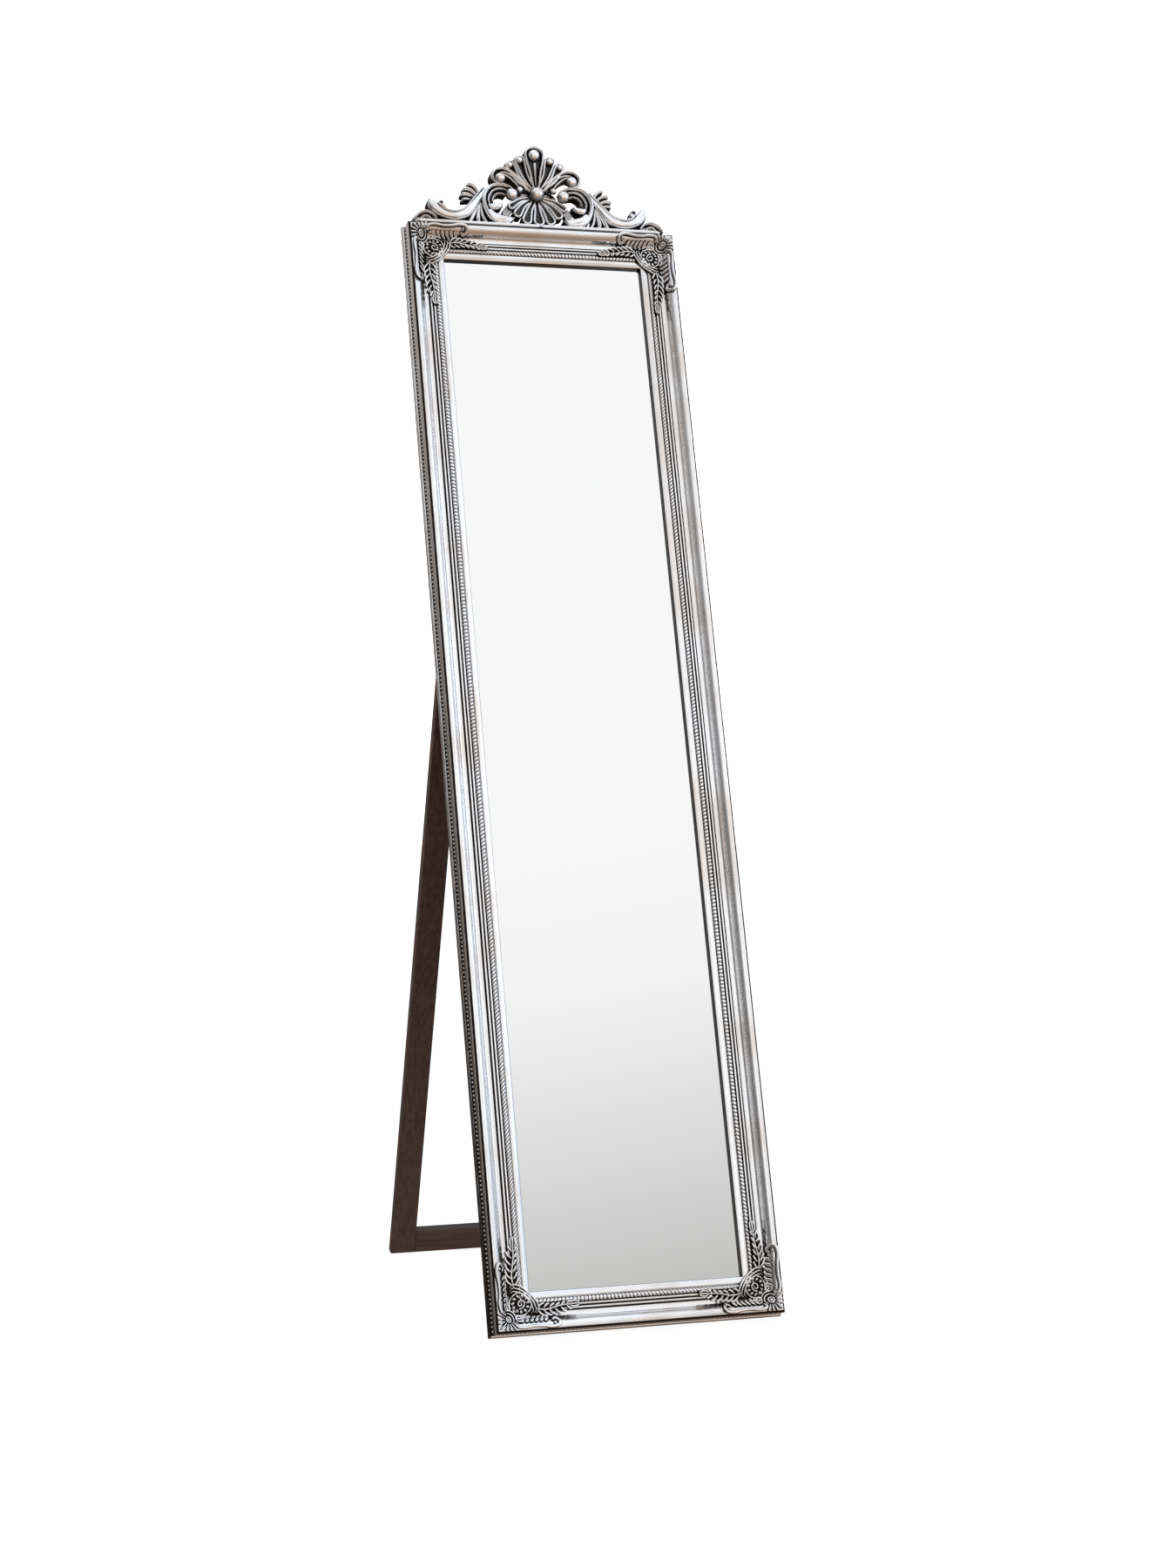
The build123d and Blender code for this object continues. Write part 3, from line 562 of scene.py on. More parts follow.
def moulding_corners():
    """Outline of the moulding: outer side, nose, ogee, fillets, rope channel, sight band and rebate."""
    band = [
        (BAND_CROWN * (1 - sin(pi * t)), BAND_DEPTH * t, 0, BAND_WAX) for t in np.linspace(0, 1, 9)[1:-1]
    ]
    nose = [nose_corner(turn) for turn in np.linspace(pi / 2, 0, 13)]
    ogee = [(across, ogee_level(across), 0, CLEAN) for across in np.linspace(OGEE_START, OGEE_END, 41)]
    (first, first_end), (second, second_end) = FILLETS
    sight = [
        (
            ROPE_END + (BORDER - ROPE_END) * t,
            FILLET_LEVEL + (SIGHT_LEVEL - FILLET_LEVEL) * t + SIGHT_CROWN * sin(pi * t),
            FINE if t in (0, 1) else 0,
            SIGHT_WAX * (t == 1),
        )
        for t in np.linspace(0, 1, 13)
    ]
    return [
        # The back edge of the outer side is made as dark as a quirk
        (BAND_CROWN, 0, SOFT, QUIRK_WAX),
        *band,
        (BAND_CROWN, BAND_DEPTH, EASED, THIN_WAX),
        (GROOVE_DEPTH, BAND_DEPTH, FINE, DEEP_WAX),
        (GROOVE_DEPTH, GROOVE_FRONT, FINE, DEEP_WAX),
        (GROOVE_LIP, GROOVE_FRONT, EASED, LIP_WAX),
        *nose,
        *ogee,
        (OGEE_END + 0.5, OGEE_FOOT - QUIRK_DROP, CRISP, QUIRK_WAX),
        (first - CRISP, OGEE_FOOT - QUIRK_DROP, CRISP, QUIRK_WAX),
        (first, FILLET_LEVEL, SOFT, CLEAN),
        (first_end, FILLET_LEVEL, SOFT, CLEAN),
        (first_end + CRISP, QUIRK_LEVEL, CRISP, QUIRK_WAX),
        (second - CRISP, QUIRK_LEVEL, CRISP, QUIRK_WAX),
        (second, FILLET_LEVEL, SOFT, CLEAN),
        (second_end, FILLET_LEVEL, SOFT, CLEAN),
        (ROPE_START + CRISP, OGEE_FOOT, CRISP, CHANNEL_WAX[0]),
        (ROPE_END - CRISP, OGEE_FOOT, CRISP, CHANNEL_WAX[1]),
        *sight,
        (BORDER, SIGHT_LEVEL - SIGHT_DROP, 0, DEEP_WAX),
        (BORDER, GLASS_FRONT, 0, DEEP_WAX),
        (REBATE_WALL, GLASS_FRONT, 0, SIGHT_WAX),
        (REBATE_WALL, 0, FINE, REBATE_WAX),
    ]


def make_rail(side, node):
    """One mitred length of the moulding; the outer side of a stile takes painted shade near the floor."""
    section = rounded(moulding_corners())
    reach = rail_length(side) / 2 - section[:, 0]
    rings = [on_rail(side, section[:, 0], end * reach, section[:, 1]) for end in (-1, 1)]
    upright = side in ("left", "right")
    wax = np.stack([section[:, 2]] * 2)
    if upright:
        # Painted shade: the outer side darkens towards the stile's foot
        outside = (section[:, 0] < SIDE_FLARE + 0.6) & (section[:, 1] < FRAME_DEPTH - NOSE_RADIUS)
        # The left stile runs upwards and the right one downwards
        foot = ("left", "right").index(side)
        wax[foot] = np.maximum(wax[foot], FOOT_SHADE * outside)
    shells = Shells()
    shells.add(np.stack(rings), wax=wax)
    paints = (SILVER_UPRIGHT if upright else SILVER_LEVEL, BACK_PAINT)
    make_run(f"moulded_{node}", shells, paints, node, 50.0)


ROPE_WIDTH = 7.6
ROPE_PITCH = 5.8
ROPE_TURN = 1.2
ROPE_BITE = 0.3
ROPE_BEND = 0.12
ROPE_FOOT = 0.2
STRAND_STEPS = 8


def make_rope(side):
    """A half-round rope in its channel: strands slant across it, with dark wax in the lay."""
    middle = (ROPE_START + ROPE_END) / 2
    half = ROPE_WIDTH / 2
    reach = rail_length(side) / 2 - middle
    strands = round(2 * reach / ROPE_PITCH)
    along = np.linspace(-reach, reach, STRAND_STEPS * strands + 1)[:, None]
    angle = np.linspace(pi, 0, 11)
    phase = strands * along / (2 * reach) + ROPE_TURN * angle / pi + ROPE_BEND * np.sin(2 * angle)
    lay = np.sqrt(np.maximum(0, 1 - (2 * (phase % 1.0) - 1) ** 2))
    radius = 1 - ROPE_BITE * (1 - lay)
    across = middle + half * np.cos(angle) * (0.35 + 0.65 * radius)
    level = OGEE_FOOT + ROPE_FOOT + (ROPE_RISE - ROPE_FOOT) * np.sin(angle) * radius
    wax = np.clip(THIN_WAX + (1 - lay) + 0.5 * (1 - np.sin(angle)) ** 2, 0, 1)
    across = np.hstack([across, across[:, -1:], across[:, :1]])
    level = np.hstack([level, np.full((len(along), 2), OGEE_FOOT)])
    wax = np.hstack([wax, np.ones((len(along), 2))])
    mitred = along * (rail_length(side) / 2 - across) / reach
    shells = Shells()
    shells.add(on_rail(side, across, mitred, level), wax=wax)
    make_run(f"twisted_rope_{side}", shells, (SILVER_CAST,), f"rope_trim_{side}", 70.0)


BEAD_PITCH = 6.6
BEAD_RADIUS = 2.0
BEAD_SINK = 0.2
BEAD_RINGS = 8
BEAD_TURNS = 12
STRIP_HALF = 3.5
STRIP_RISE = 0.5
STRIP_BEVEL = 0.2


def make_beads(side):
    """Pearls on a thin strip, in the groove of the outer side."""
    length = rail_length(side)
    narrow = STRIP_HALF - STRIP_BEVEL
    strip_across = GROOVE_DEPTH - np.array((0.0, 0.0, STRIP_RISE, STRIP_RISE))
    strip_level = BEAD_LEVEL + np.array((-STRIP_HALF, STRIP_HALF, narrow, -narrow))
    reach = length / 2 - strip_across
    shells = Shells()
    ends = [on_rail(side, strip_across, end * reach, strip_level) for end in (-1, 1)]
    shells.add(np.stack(ends), wax=DEEP_WAX)
    count = int((length - 2 * GROOVE_DEPTH) / BEAD_PITCH)
    tilt = np.linspace(0.04 * pi, 0.96 * pi, BEAD_RINGS)[:, None]
    turn = np.linspace(0, 2 * pi, BEAD_TURNS, endpoint=False)
    rise = np.broadcast_to(np.cos(tilt), (BEAD_RINGS, BEAD_TURNS))
    for index in range(count):
        along = (index - (count - 1) / 2) * BEAD_PITCH + BEAD_RADIUS * np.sin(tilt) * np.cos(turn)
        level = BEAD_LEVEL + BEAD_RADIUS * np.sin(tilt) * np.sin(turn)
        across = GROOVE_DEPTH - BEAD_SINK - BEAD_RADIUS * rise
        shells.add(on_rail(side, across, along, level), wax=np.clip(0.7 - 0.9 * rise, 0, 1))
    make_run(f"pearl_run_{side}", shells, (SILVER_CAST,), f"bead_trim_{side}", 60.0)


# Crest, drawn for its right half: straps are (x, y, half width, top)

ROUND = round_section()
FLAT = flat_section()
LOBE_ROOT = (0.0, 61.0)
# Lobes as tip x, tip y, tip radius, bend to the side, rim top at the tip and tip ball radius
UPPER_LOBES = ((25.5, 118, 7.6, -3, 24, 6), (42, 109, 6.6, -5, 23, 5.2))
LOWER_LOBES = ((20, 15.5, 6.6, 1.5, 20, 0), (34.5, 26.5, 5.8, 3, 19, 0), (44, 39.5, 4.6, 3.5, 18, 0))
TOP_LOBE = (0, 127.5, 15, 0, 26, 0)
FOOT_LOBE = (0, 14, 7.4, 0, 20.5, 0)
LOBE_START = 10.0
FIELD_TOP = 13.0
FIELD_WAX = 0.65
# Wax at the foot of a ridge and painted shade down its rounded flanks
EDGE_WAX_AND_SHADE = 0.9
PLATE_WALL = 0.9
RIM_FALL = 6.0


def plate(shells, path, wax, floor=0.0, step=2.0):
    """A flat plate between the ridges, with wax all over it."""
    strap(shells, path, FLAT, floor, PLATE_WALL, step=step, wax=wax)


def ridges_of(shells, paths, wall):
    """Rounded ridges with wax and painted shade along their edges."""
    for path in paths:
        strap(shells, path, ROUND, wall=wall, edge_wax_and_shade=EDGE_WAX_AND_SHADE)


def lobe(shells, tip_x, tip_y, tip_radius, bend, top, tip_ball, root_radius=2.6):
    """A petal of the fan: a sunken field inside a raised rim, and a curled tip."""
    root, tip = np.array(LOBE_ROOT), np.array((tip_x, tip_y))
    way = (tip - root) / np.linalg.norm(tip - root)
    side = np.array((-way[1], way[0]))
    root = root + way * LOBE_START
    middle = (root + tip) / 2 + side * bend
    wide = (root_radius + tip_radius) / 2 - 0.6
    low = top - RIM_FALL
    rim = [
        (*(root + side * root_radius), 1.7, low),
        (*(middle + side * wide), 2.1, (low + top) / 2),
        (*(tip + side * tip_radius), 2.3, top),
        (*(tip + (side + way) * tip_radius * 0.72), 2.3, top),
        (*(tip + way * tip_radius), 2.4, top),
        (*(tip + (way - side) * tip_radius * 0.72), 2.3, top),
        (*(tip - side * tip_radius), 2.3, top),
        (*(middle - side * wide), 2.1, (low + top) / 2),
        (*(root - side * root_radius), 1.7, low),
    ]
    field = [
        (*root, root_radius, FIELD_TOP - 2),
        (*middle, wide, FIELD_TOP),
        (*(tip - way), tip_radius, FIELD_TOP + 2),
        (*(tip + way * tip_radius * 0.9), tip_radius * 0.7, FIELD_TOP + 2),
    ]
    plate(shells, field, FIELD_WAX)
    ridges_of(shells, (rim,), 0.75)
    if tip_ball:
        ball(shells, *(tip + way * 1.2), top - 4.0, tip_ball)


def hook_leaf(shells):
    """The curled leaf beside the fan, from the boss over to its ball."""
    outer = (
        (10, 66, 2, 17), (21, 79, 2.3, 19), (31, 90, 2.5, 21), (42, 98.5, 2.7, 23), (54.5, 103, 2.8, 24),
        (66, 100.5, 2.8, 25), (73, 93, 2.7, 25), (73.5, 85, 2.5, 24), (69, 78, 2.2, 23), (62, 76, 1.6, 22),
    )
    middle = (
        (15, 67, 1.4, 17), (27, 81, 1.6, 18.5), (38, 90.5, 1.8, 20.5), (51, 96, 1.8, 22), (62, 95, 1.6, 22.5),
    )
    inner = (
        (27, 68, 1.6, 19), (34, 78, 1.9, 20), (44.5, 87.5, 2.2, 21), (54, 91.5, 2.2, 23), (60, 90, 2, 24),
    )
    field = (
        (16, 68, 4, 11), (27, 80, 6, 13), (38, 91, 7, 14), (52, 97, 7, 14), (64, 93, 8, 14), (66, 85, 8, 14),
    )
    plate(shells, field, FIELD_WAX)
    ridges_of(shells, (outer, middle, inner), 0.72)
    ball(shells, 61, 85.5, 18.5, 9.2)
    ball(shells, 28.5, 67.5, 17.5, 5.4)


def c_scroll(shells):
    """The inner scroll: a ribbed band from its ball over the top and down to a turned-over leaf."""
    outer = (
        (39, 66, 2, 22), (48, 71, 2.6, 24), (60, 73.5, 3, 25), (76, 70.5, 3.2, 26), (87, 60, 3.4, 26),
        (91.5, 45, 3.6, 26), (88, 28, 3.8, 25), (79.5, 14, 4.2, 24.5), (65, 8, 4.6, 24.5),
        (51, 10, 4.2, 23.5), (41.5, 17, 1.5, 21),
    )
    middle = (
        (47, 63, 1.6, 20), (56, 66.5, 2, 21.5), (67, 66.5, 2.3, 22.5), (77, 60.5, 2.4, 22.5),
        (83, 49, 2.4, 22), (82, 38, 2, 20),
    )
    inner = (
        (52, 57, 1.5, 18), (60, 59.5, 1.9, 19.5), (68, 58, 2.1, 20), (74.5, 51, 2.2, 20), (76, 43, 2, 19),
    )
    field = (
        (48, 64, 4, 12), (58, 66, 7.5, 14), (70, 64.5, 9, 14), (81, 56, 9.5, 14), (84.5, 44, 9, 14),
        (82, 30, 8, 14), (74, 20, 7, 14),
    )
    lower = ((43, 16, 2, 20), (52, 14.5, 5.5, 22), (64, 15, 7.4, 23), (76, 19, 7.4, 23), (85, 30, 5, 22))
    turnover = (
        (84, 42, 3, 18), (79, 36.5, 5.5, 21), (71, 35, 6, 23), (63, 38, 4.5, 22), (58.5, 42, 1.5, 19),
    )
    plate(shells, field, FIELD_WAX)
    ridges_of(shells, (outer, middle, inner, lower, turnover), 0.66)
    ball(shells, 43.8, 57.3, 19.5, 10.3)


def s_arm(shells):
    """The long leaf that sweeps out along the rail and up to a broad tip, with its curl, spray and tuft."""
    body = (
        (85, 67, 3, 21), (98, 49.5, 5.4, 23), (110.5, 33, 6.8, 25), (124, 19.5, 7.8, 26),
        (142, 13, 7.4, 27), (158.5, 15.5, 7.4, 27), (171, 24, 8.6, 26), (178, 33, 8.6, 24),
        (180.5, 45, 2.2, 21),
    )
    rim = (
        (88.5, 70, 1.4, 20), (103, 54, 1.7, 22), (116.5, 37, 1.8, 24), (129, 26, 1.9, 25),
        (143, 21.5, 2, 26), (155.5, 23.5, 2, 26), (164, 31, 1.9, 25), (166, 37.5, 1.7, 23.5),
        (161.5, 39.5, 1.5, 22), (158.5, 35, 1.4, 21),
    )
    crease = ((91.5, 55, 1.3, 22), (103, 39, 1.6, 24), (114.5, 23, 1.6, 25.5), (125, 12.5, 1.4, 26))
    ridges_of(shells, (body, rim, crease), 0.6)
    ball(shells, 160.5, 31.5, 17.5, 5.0)
    spray = (
        ((94.5, 44, 1.8, 19), (96, 30, 3, 20), (93, 15, 3.4, 20), (86.5, 5, 2.5, 19)),
        ((96.5, 42, 1.8, 20), (101, 26, 3.2, 22), (103, 12, 4, 22), (101, 4, 3, 20)),
        ((99, 38, 1.8, 20), (108.5, 22, 3.4, 22), (114.5, 11, 4, 22), (119, 4, 3, 20)),
    )
    tuft = (
        ((97, 58, 2.2, 16), (102.5, 68, 3.1, 19), (110, 73.5, 3.5, 20), (116, 73, 3, 18)),
        ((100, 54, 2.2, 16), (109.5, 62.5, 3.2, 19), (118.5, 65, 3.6, 20), (124, 63, 3, 18)),
        ((104, 50, 2.2, 16), (114.5, 55, 3.2, 19), (123, 55.5, 3.6, 20), (128, 53, 3, 18)),
        ((108, 45, 2, 15), (116.5, 47, 2.9, 18), (123, 46.5, 3.2, 19), (127, 44.5, 2.6, 17)),
    )
    ridges_of(shells, spray, 0.6)
    plate(shells, ((98, 52, 7, 10), (109, 58, 12, 11), (116, 60, 11, 11)), DEEP_WAX)
    ridges_of(shells, tuft, 0.6)


FOOT_PLATE_WAX = 0.15


def end_leaf(shells):
    """The small curled leaf over the frame's corner."""
    rim = (
        (171, 6, 1.8, 22), (177.5, 14.5, 2.4, 24), (189, 19, 2.8, 25), (200.5, 15.5, 2.8, 25),
        (208.5, 8, 2.6, 24), (212, 2.5, 2.4, 22),
    )
    inner = ((180.5, 4, 1.8, 20), (185, 10.5, 2.2, 22), (193.5, 12, 2.4, 22), (200.5, 6.5, 2, 20))
    field = ((172.5, 5, 4, 14), (186, 9, 8, 15), (199.5, 8, 7, 15), (209, 4, 3.5, 14))
    plate(shells, field, FOOT_PLATE_WAX)
    ridges_of(shells, (rim, inner), 0.66)


GROUND_TOP = 8.0


def fan_ground(shells):
    """Dark plates that close the gaps between the petals."""
    root = np.array(LOBE_ROOT)
    for petals in ((TOP_LOBE, *UPPER_LOBES), (FOOT_LOBE, *LOWER_LOBES)):
        for first, second in zip(petals, petals[1:]):
            tips = np.array((first[:2], second[:2]))
            reach = tips.mean(0) - root
            half = np.linalg.norm(tips[1] - tips[0]) / 2
            widths = ((0.1, 1.5), (0.5, 0.5 * half), (0.88, half))
            path = [(*(root + share * reach), width, GROUND_TOP) for share, width in widths]
            plate(shells, path, DEEP_WAX)


BOSS_PLATES = (
    ((4, 61, 9, 8), (20, 58, 11, 8), (36, 55, 8, 8)),
    ((26, 48, 5, 12), (40, 42, 6, 12), (52, 30, 7, 12), (50, 20, 6, 12)),
)
BOSS_WAX = 0.45
SEAT_WAX = 0.6
FOOT_REACH = (0, 100, 206)
FOOT_STEP = 6.0
SPINE = ((0, 76, 1.3, 19), (0, 97, 2.2, 21), (0, 112, 3.4, 23), (0, 117, 3, 23))


def make_crest():
    """The right half and its reflection, then what stands on the middle line."""
    shells = Shells()
    fan_ground(shells)
    for path in BOSS_PLATES:
        plate(shells, path, BOSS_WAX)
    for petal in (*UPPER_LOBES, *LOWER_LOBES):
        lobe(shells, *petal)
    hook_leaf(shells)
    c_scroll(shells)
    s_arm(shells)
    end_leaf(shells)
    plate(shells, [(x, 2.6, 2.6, 24) for x in FOOT_REACH], FOOT_PLATE_WAX, step=FOOT_STEP)
    seat = [(x, -1.8, 2.2, 23) for x in FOOT_REACH]
    plate(shells, seat, SEAT_WAX, GROOVE_FRONT - CREST_BACK, FOOT_STEP)
    shells.mirrored(lambda points: points * (-1, 1, 1))
    lobe(shells, *TOP_LOBE, root_radius=4.2)
    lobe(shells, *FOOT_LOBE)
    ball(shells, 0, 129.5, 18.0, 10.5)
    strap(shells, SPINE, ROUND, wall=0.7)
    ball(shells, 0, 61.5, 17.0, 12.2, turns=28, rings=16)
    # Wax settled below the relief around it, with the wax and painted shade that the skins carry
    wax = np.maximum(settle_wax(shells, reach=2.6, depth=3.0), shells.all_wax())
    points = to_world(shells.all_points() + (0, FRAME_HEIGHT, CREST_BACK))
    paints = (SILVER_CAST, BACK_PAINT)
    make_piece("carved_crest", points, shells.faces, wax, paints, "crest")


# Corner ornament, drawn from the corner of the front: a along one edge, b along the other, and relief
# above the moulding

BURIED = -1.5
GROUND = 0.4
RIDGE_SLIM = 0.84
RIDGE_WALL = 0.72
GROUND_WALL = 0.3
RIDGE_STEP = 1.2
DARK_BELOW = 2.6
BRIGHT_ABOVE = 4.8
SHELL_HUB = (20.0, 20.0)
SHELL_RIBS = 9
CARTOUCHE = (41.0, 41.0)
CARTOUCHE_LEAVES = 11
RIBBONS = 3
SCROLL_EYE = (37.0, 20.5)
SCROLL_LOBES = 6
FRONDS = 6
BUD_STRIPES = (-1.2, 0.0, 1.2)
KNOB_LEVEL = 3.2
UPRIGHT_STRETCH = 0.12
STRETCH_FROM = 60.0
MITRE_EASE = 18.0
UNDER_EASE = 3.5
EDGE_DROP = 2.0
EDGE_REACH = 4.0


def both_arms(path):
    """A strap and its reflection over the corner's diagonal; the upright arm is a little longer."""
    upright = [(b, a + UPRIGHT_STRETCH * max(0.0, a - STRETCH_FROM), half, top) for a, b, half, top in path]
    return path, upright


def winding(centre, radii, start, turns, half, top, stretch=1.0, tilt=0.0):
    """A path round a centre, from its first radius to its second, as an oval if stretched along its tilt."""
    path = []
    for t in np.linspace(0, 1, max(6, round(12 * abs(turns))) + 1):
        angle = start + 2 * pi * turns * t
        radius = radii[0] + (radii[1] - radii[0]) * t
        u, v = stretch * radius * cos(angle), radius * sin(angle)
        a = centre[0] + u * cos(tilt) - v * sin(tilt)
        b = centre[1] + u * sin(tilt) + v * cos(tilt)
        path.append((a, b, half, top))
    return path


def shell_ridges():
    """The shell in the corner: ribs that fan out from a hub, and its collar."""
    hub = np.array(SHELL_HUB)
    ridges = []
    for angle in np.linspace(radians(130), radians(320), SHELL_RIBS):
        way = np.array((cos(angle), sin(angle)))
        reach = min(22.0, *((hub - 1.5) / np.maximum(-way, 1e-6)))
        start, stop = hub + way * 5.8, hub + way * (reach - 1.6)
        ridges.append(((*start, 0.9, 4.2), (*((start + stop) / 2), 1.5, 5.8), (*stop, 1.9, 6.0)))
    for radius, spread in ((8.8, 84), (13.2, 58)):
        ridges.append(winding(SHELL_HUB, (radius, radius), radians(45 - spread), spread / 180, 1.4, 5.0))
    return ridges


def cartouche_ridges():
    """The cartouche: a curl inside a ring of small leaves, and the lines that follow its edge."""
    tilt = radians(45)
    ridges = [winding(CARTOUCHE, (6.6, 1.2), radians(200), 1.4, 1.4, 5.6, 1.2, tilt)]
    for angle in np.linspace(0, 2 * pi, CARTOUCHE_LEAVES, endpoint=False):
        leaf = []
        for radius, half, top in ((8.6, 1.3, 4.2), (11.4, 2.3, 5.8), (13.8, 1.7, 4.6)):
            way = angle + 0.06 * (radius - 8.6)
            leaf.append((CARTOUCHE[0] + radius * cos(way), CARTOUCHE[1] + radius * sin(way), half, top))
        ridges.append(leaf)
    for radius, start, turns in ((16.2, -116, 0.3), (20.6, -118, 0.18)):
        ridges += both_arms(winding(CARTOUCHE, (radius, radius), radians(start), turns, 1.4, 5.0))
    return ridges


def scroll_ridges():
    """The scroll along each outer edge, with the slanting lobes inside it."""
    outer = (
        (33, 15.5, 1.6, 5.4), (29.5, 12.5, 2.2, 6.2), (32.5, 8, 2.6, 6.8), (42, 6.5, 2.7, 6.8),
        (56, 8, 2.5, 6.6), (70, 7.5, 2.7, 7), (83, 5.5, 3.1, 7.8), (93, 7.5, 3.3, 8),
        (95.5, 14, 3, 7.8), (90.5, 18.5, 2.6, 7.2), (85, 15.5, 1.8, 6.4),
    )
    ridges = [*both_arms(outer)]
    for a in np.linspace(38, 74, SCROLL_LOBES):
        tip = (a + 7, 25 - 0.07 * (a - 38), 1.9, 4.8)
        ridges += both_arms(((a, 14.5, 1.6, 4.8), (a + 4, 18.5, 2.9, 6.6), tip))
    return ridges


def ribbon_ridges():
    """The folded ribbon between the cartouche and the glass."""
    ridges = []
    for shift in np.linspace(0, 9.6, RIBBONS):
        ridges += both_arms(
            (
                (45 + shift, 60 - 0.4 * shift, 1.4, 4.8), (50 + shift, 51, 1.65, 6),
                (56.5 + shift, 41, 1.65, 6.4), (59.5 + 0.9 * shift, 31, 1.1, 5.6),
                (56 + 0.8 * shift, 26.5, 0.9, 4.6),
            )
        )
    return ridges


def frond(a, b, reach, side, half):
    """One frond of an arm: away from the stem, and bent forwards at its tip."""
    return (
        (a, b + side * 0.8, 0.7 * half, 4.0), (a + 0.5 * reach, b + side * 0.62 * reach, half, 5.8),
        (a + 1.05 * reach, b + side * 0.95 * reach, 0.95 * half, 5.6),
        (a + 1.45 * reach, b + side * 0.85 * reach, 0.6 * half, 4.6),
    )


def leaf_ridges():
    """The leaf along each arm: stem, fronds and the striped bud at its end."""
    stem = ((64, 33, 1.2, 4.4), (80, 31, 1.5, 5.2), (100, 35, 1.4, 5), (118, 36.5, 1.2, 4.6))
    ridges = [*both_arms(stem)]
    for t in np.linspace(0, 1, FRONDS):
        a, b = 66 + 44 * t, 32.5 - 2 * sin(pi * t) + 3.5 * t
        ridges += both_arms(frond(a, b, 11 - 4.5 * t, -1, 1.9))
        ridges += both_arms(frond(a, b, 7.5 - 2.5 * t, 1, 1.8))
    for stripe in BUD_STRIPES:
        ridges += both_arms(
            (
                (114, 36.5 + 1.2 * stripe, 0.9, 4.2), (121, 36.5 + 3.2 * stripe, 1.5, 5.6),
                (127, 36.8 + 2.6 * stripe, 1.4, 5.2), (131, 37 + 0.8 * stripe, 0.8, 4.0),
            )
        )
    return ridges


def corner_ridge(shells, path, closed=False):
    """One ridge of the relief, buried a little in the moulding."""
    # Its edges carry wax and painted shade
    strap(shells, path, ROUND, BURIED, RIDGE_WALL, closed, RIDGE_STEP, edge_wax_and_shade=EDGE_WAX_AND_SHADE)


def corner_relief():
    """The flat relief: dark ground, ridges, rings and knobs."""
    shells = Shells()
    under_shell = ((14, 14, 11, GROUND), (30, 30, 16, GROUND), (48, 48, 12, GROUND))
    under_scroll = ((28, 14, 8, GROUND), (50, 12, 7, GROUND), (70, 12, 6, GROUND), (86, 11, 6, GROUND))
    under_leaf = ((44, 36, 12, GROUND), (66, 32, 9.5, GROUND), (96, 35, 6.5, GROUND), (126, 37, 3, GROUND))
    for path in (under_shell, *both_arms(under_scroll), *both_arms(under_leaf)):
        strap(shells, path, flat_section(41), BURIED, GROUND_WALL, step=RIDGE_STEP, wax=DEEP_WAX, lined=True)
    for path in (*shell_ridges(), *cartouche_ridges(), *scroll_ridges(), *ribbon_ridges(), *leaf_ridges()):
        corner_ridge(shells, [(a, b, RIDGE_SLIM * half, top) for a, b, half, top in path])
    corner_ridge(shells, winding(SHELL_HUB, (4.0, 4.0), 0, 1, 1.2, 5.4)[:-1], closed=True)
    for path in both_arms(winding(SCROLL_EYE, (4.2, 4.2), 0, 1, 1.4, 5.4)[:-1]):
        corner_ridge(shells, path, closed=True)
    knobs = (
        (*SHELL_HUB, 2.6), (*SCROLL_EYE, 1.8), (*SCROLL_EYE[::-1], 1.8), (89, 11.5, 2.6), (11.5, 92.5, 2.6),
    )
    for a, b, radius in knobs:
        ball(shells, a, b, KNOB_LEVEL, radius, turns=12, rings=8)
    return shells


def moulding_level(a, b):
    """Front of the moulding under the ornament: eased over the mitre, and without the narrow quirks."""
    ease = np.maximum(MITRE_EASE - np.abs(a - b), 0) / MITRE_EASE
    across = SIDE_FLARE + np.minimum(a, b) - ease**2 * MITRE_EASE / 4
    rope_middle = (ROPE_START + ROPE_END) / 2
    rope_top = OGEE_FOOT + ROPE_RISE - 0.5
    inner = np.interp(
        across, (OGEE_END, FILLETS[0][0], ROPE_START, rope_middle, ROPE_END, BORDER),
        (OGEE_FOOT, FILLET_LEVEL, FILLET_LEVEL, rope_top, FILLET_LEVEL + 0.3, SIGHT_LEVEL),
    )
    ogee = sum(ogee_level(across + shift) for shift in (-UNDER_EASE, 0, 0, UNDER_EASE)) / 4
    front = np.where(across > OGEE_END, np.maximum(inner, ogee), ogee)
    return front - EDGE_DROP * np.clip(1 - (across - SIDE_FLARE) / EDGE_REACH, 0, 1) ** 2


def make_corners():
    """One relief, bent over the moulding and turned to each of the four corners."""
    shells = corner_relief()
    flat = shells.all_points()
    low = np.clip((BRIGHT_ABOVE - flat[:, 2]) / (BRIGHT_ABOVE - DARK_BELOW), 0, 1)
    wax = np.maximum(settle_wax(shells, reach=1.5, depth=1.5, cell=0.5), low)
    # With the wax and painted shade that the ridges and knobs carry
    wax = np.maximum(wax, shells.all_wax())
    level = flat[:, 2] + moulding_level(flat[:, 0], flat[:, 1])
    for vertical, upwards in (("top", -1), ("bottom", 1)):
        for side, across in (("left", 1), ("right", -1)):
            x = across * (SIDE_FLARE + flat[:, 0] - FRAME_WIDTH / 2)
            y = SIDE_FLARE + flat[:, 1] if upwards > 0 else FRAME_HEIGHT - SIDE_FLARE - flat[:, 1]
            points = to_world(np.stack([x, y, level], -1))
            make_piece(
                f"carved_corner_{vertical}_{side}", points, shells.faces, wax, (SILVER_CAST,),
                f"corner_ornament_{vertical}_{side}",
            )


BRASS = ((0.62, 0.47, 0.22), (0.4, 0.29, 0.13))
STEEL = ((0.6, 0.6, 0.6), (0.42, 0.41, 0.4))


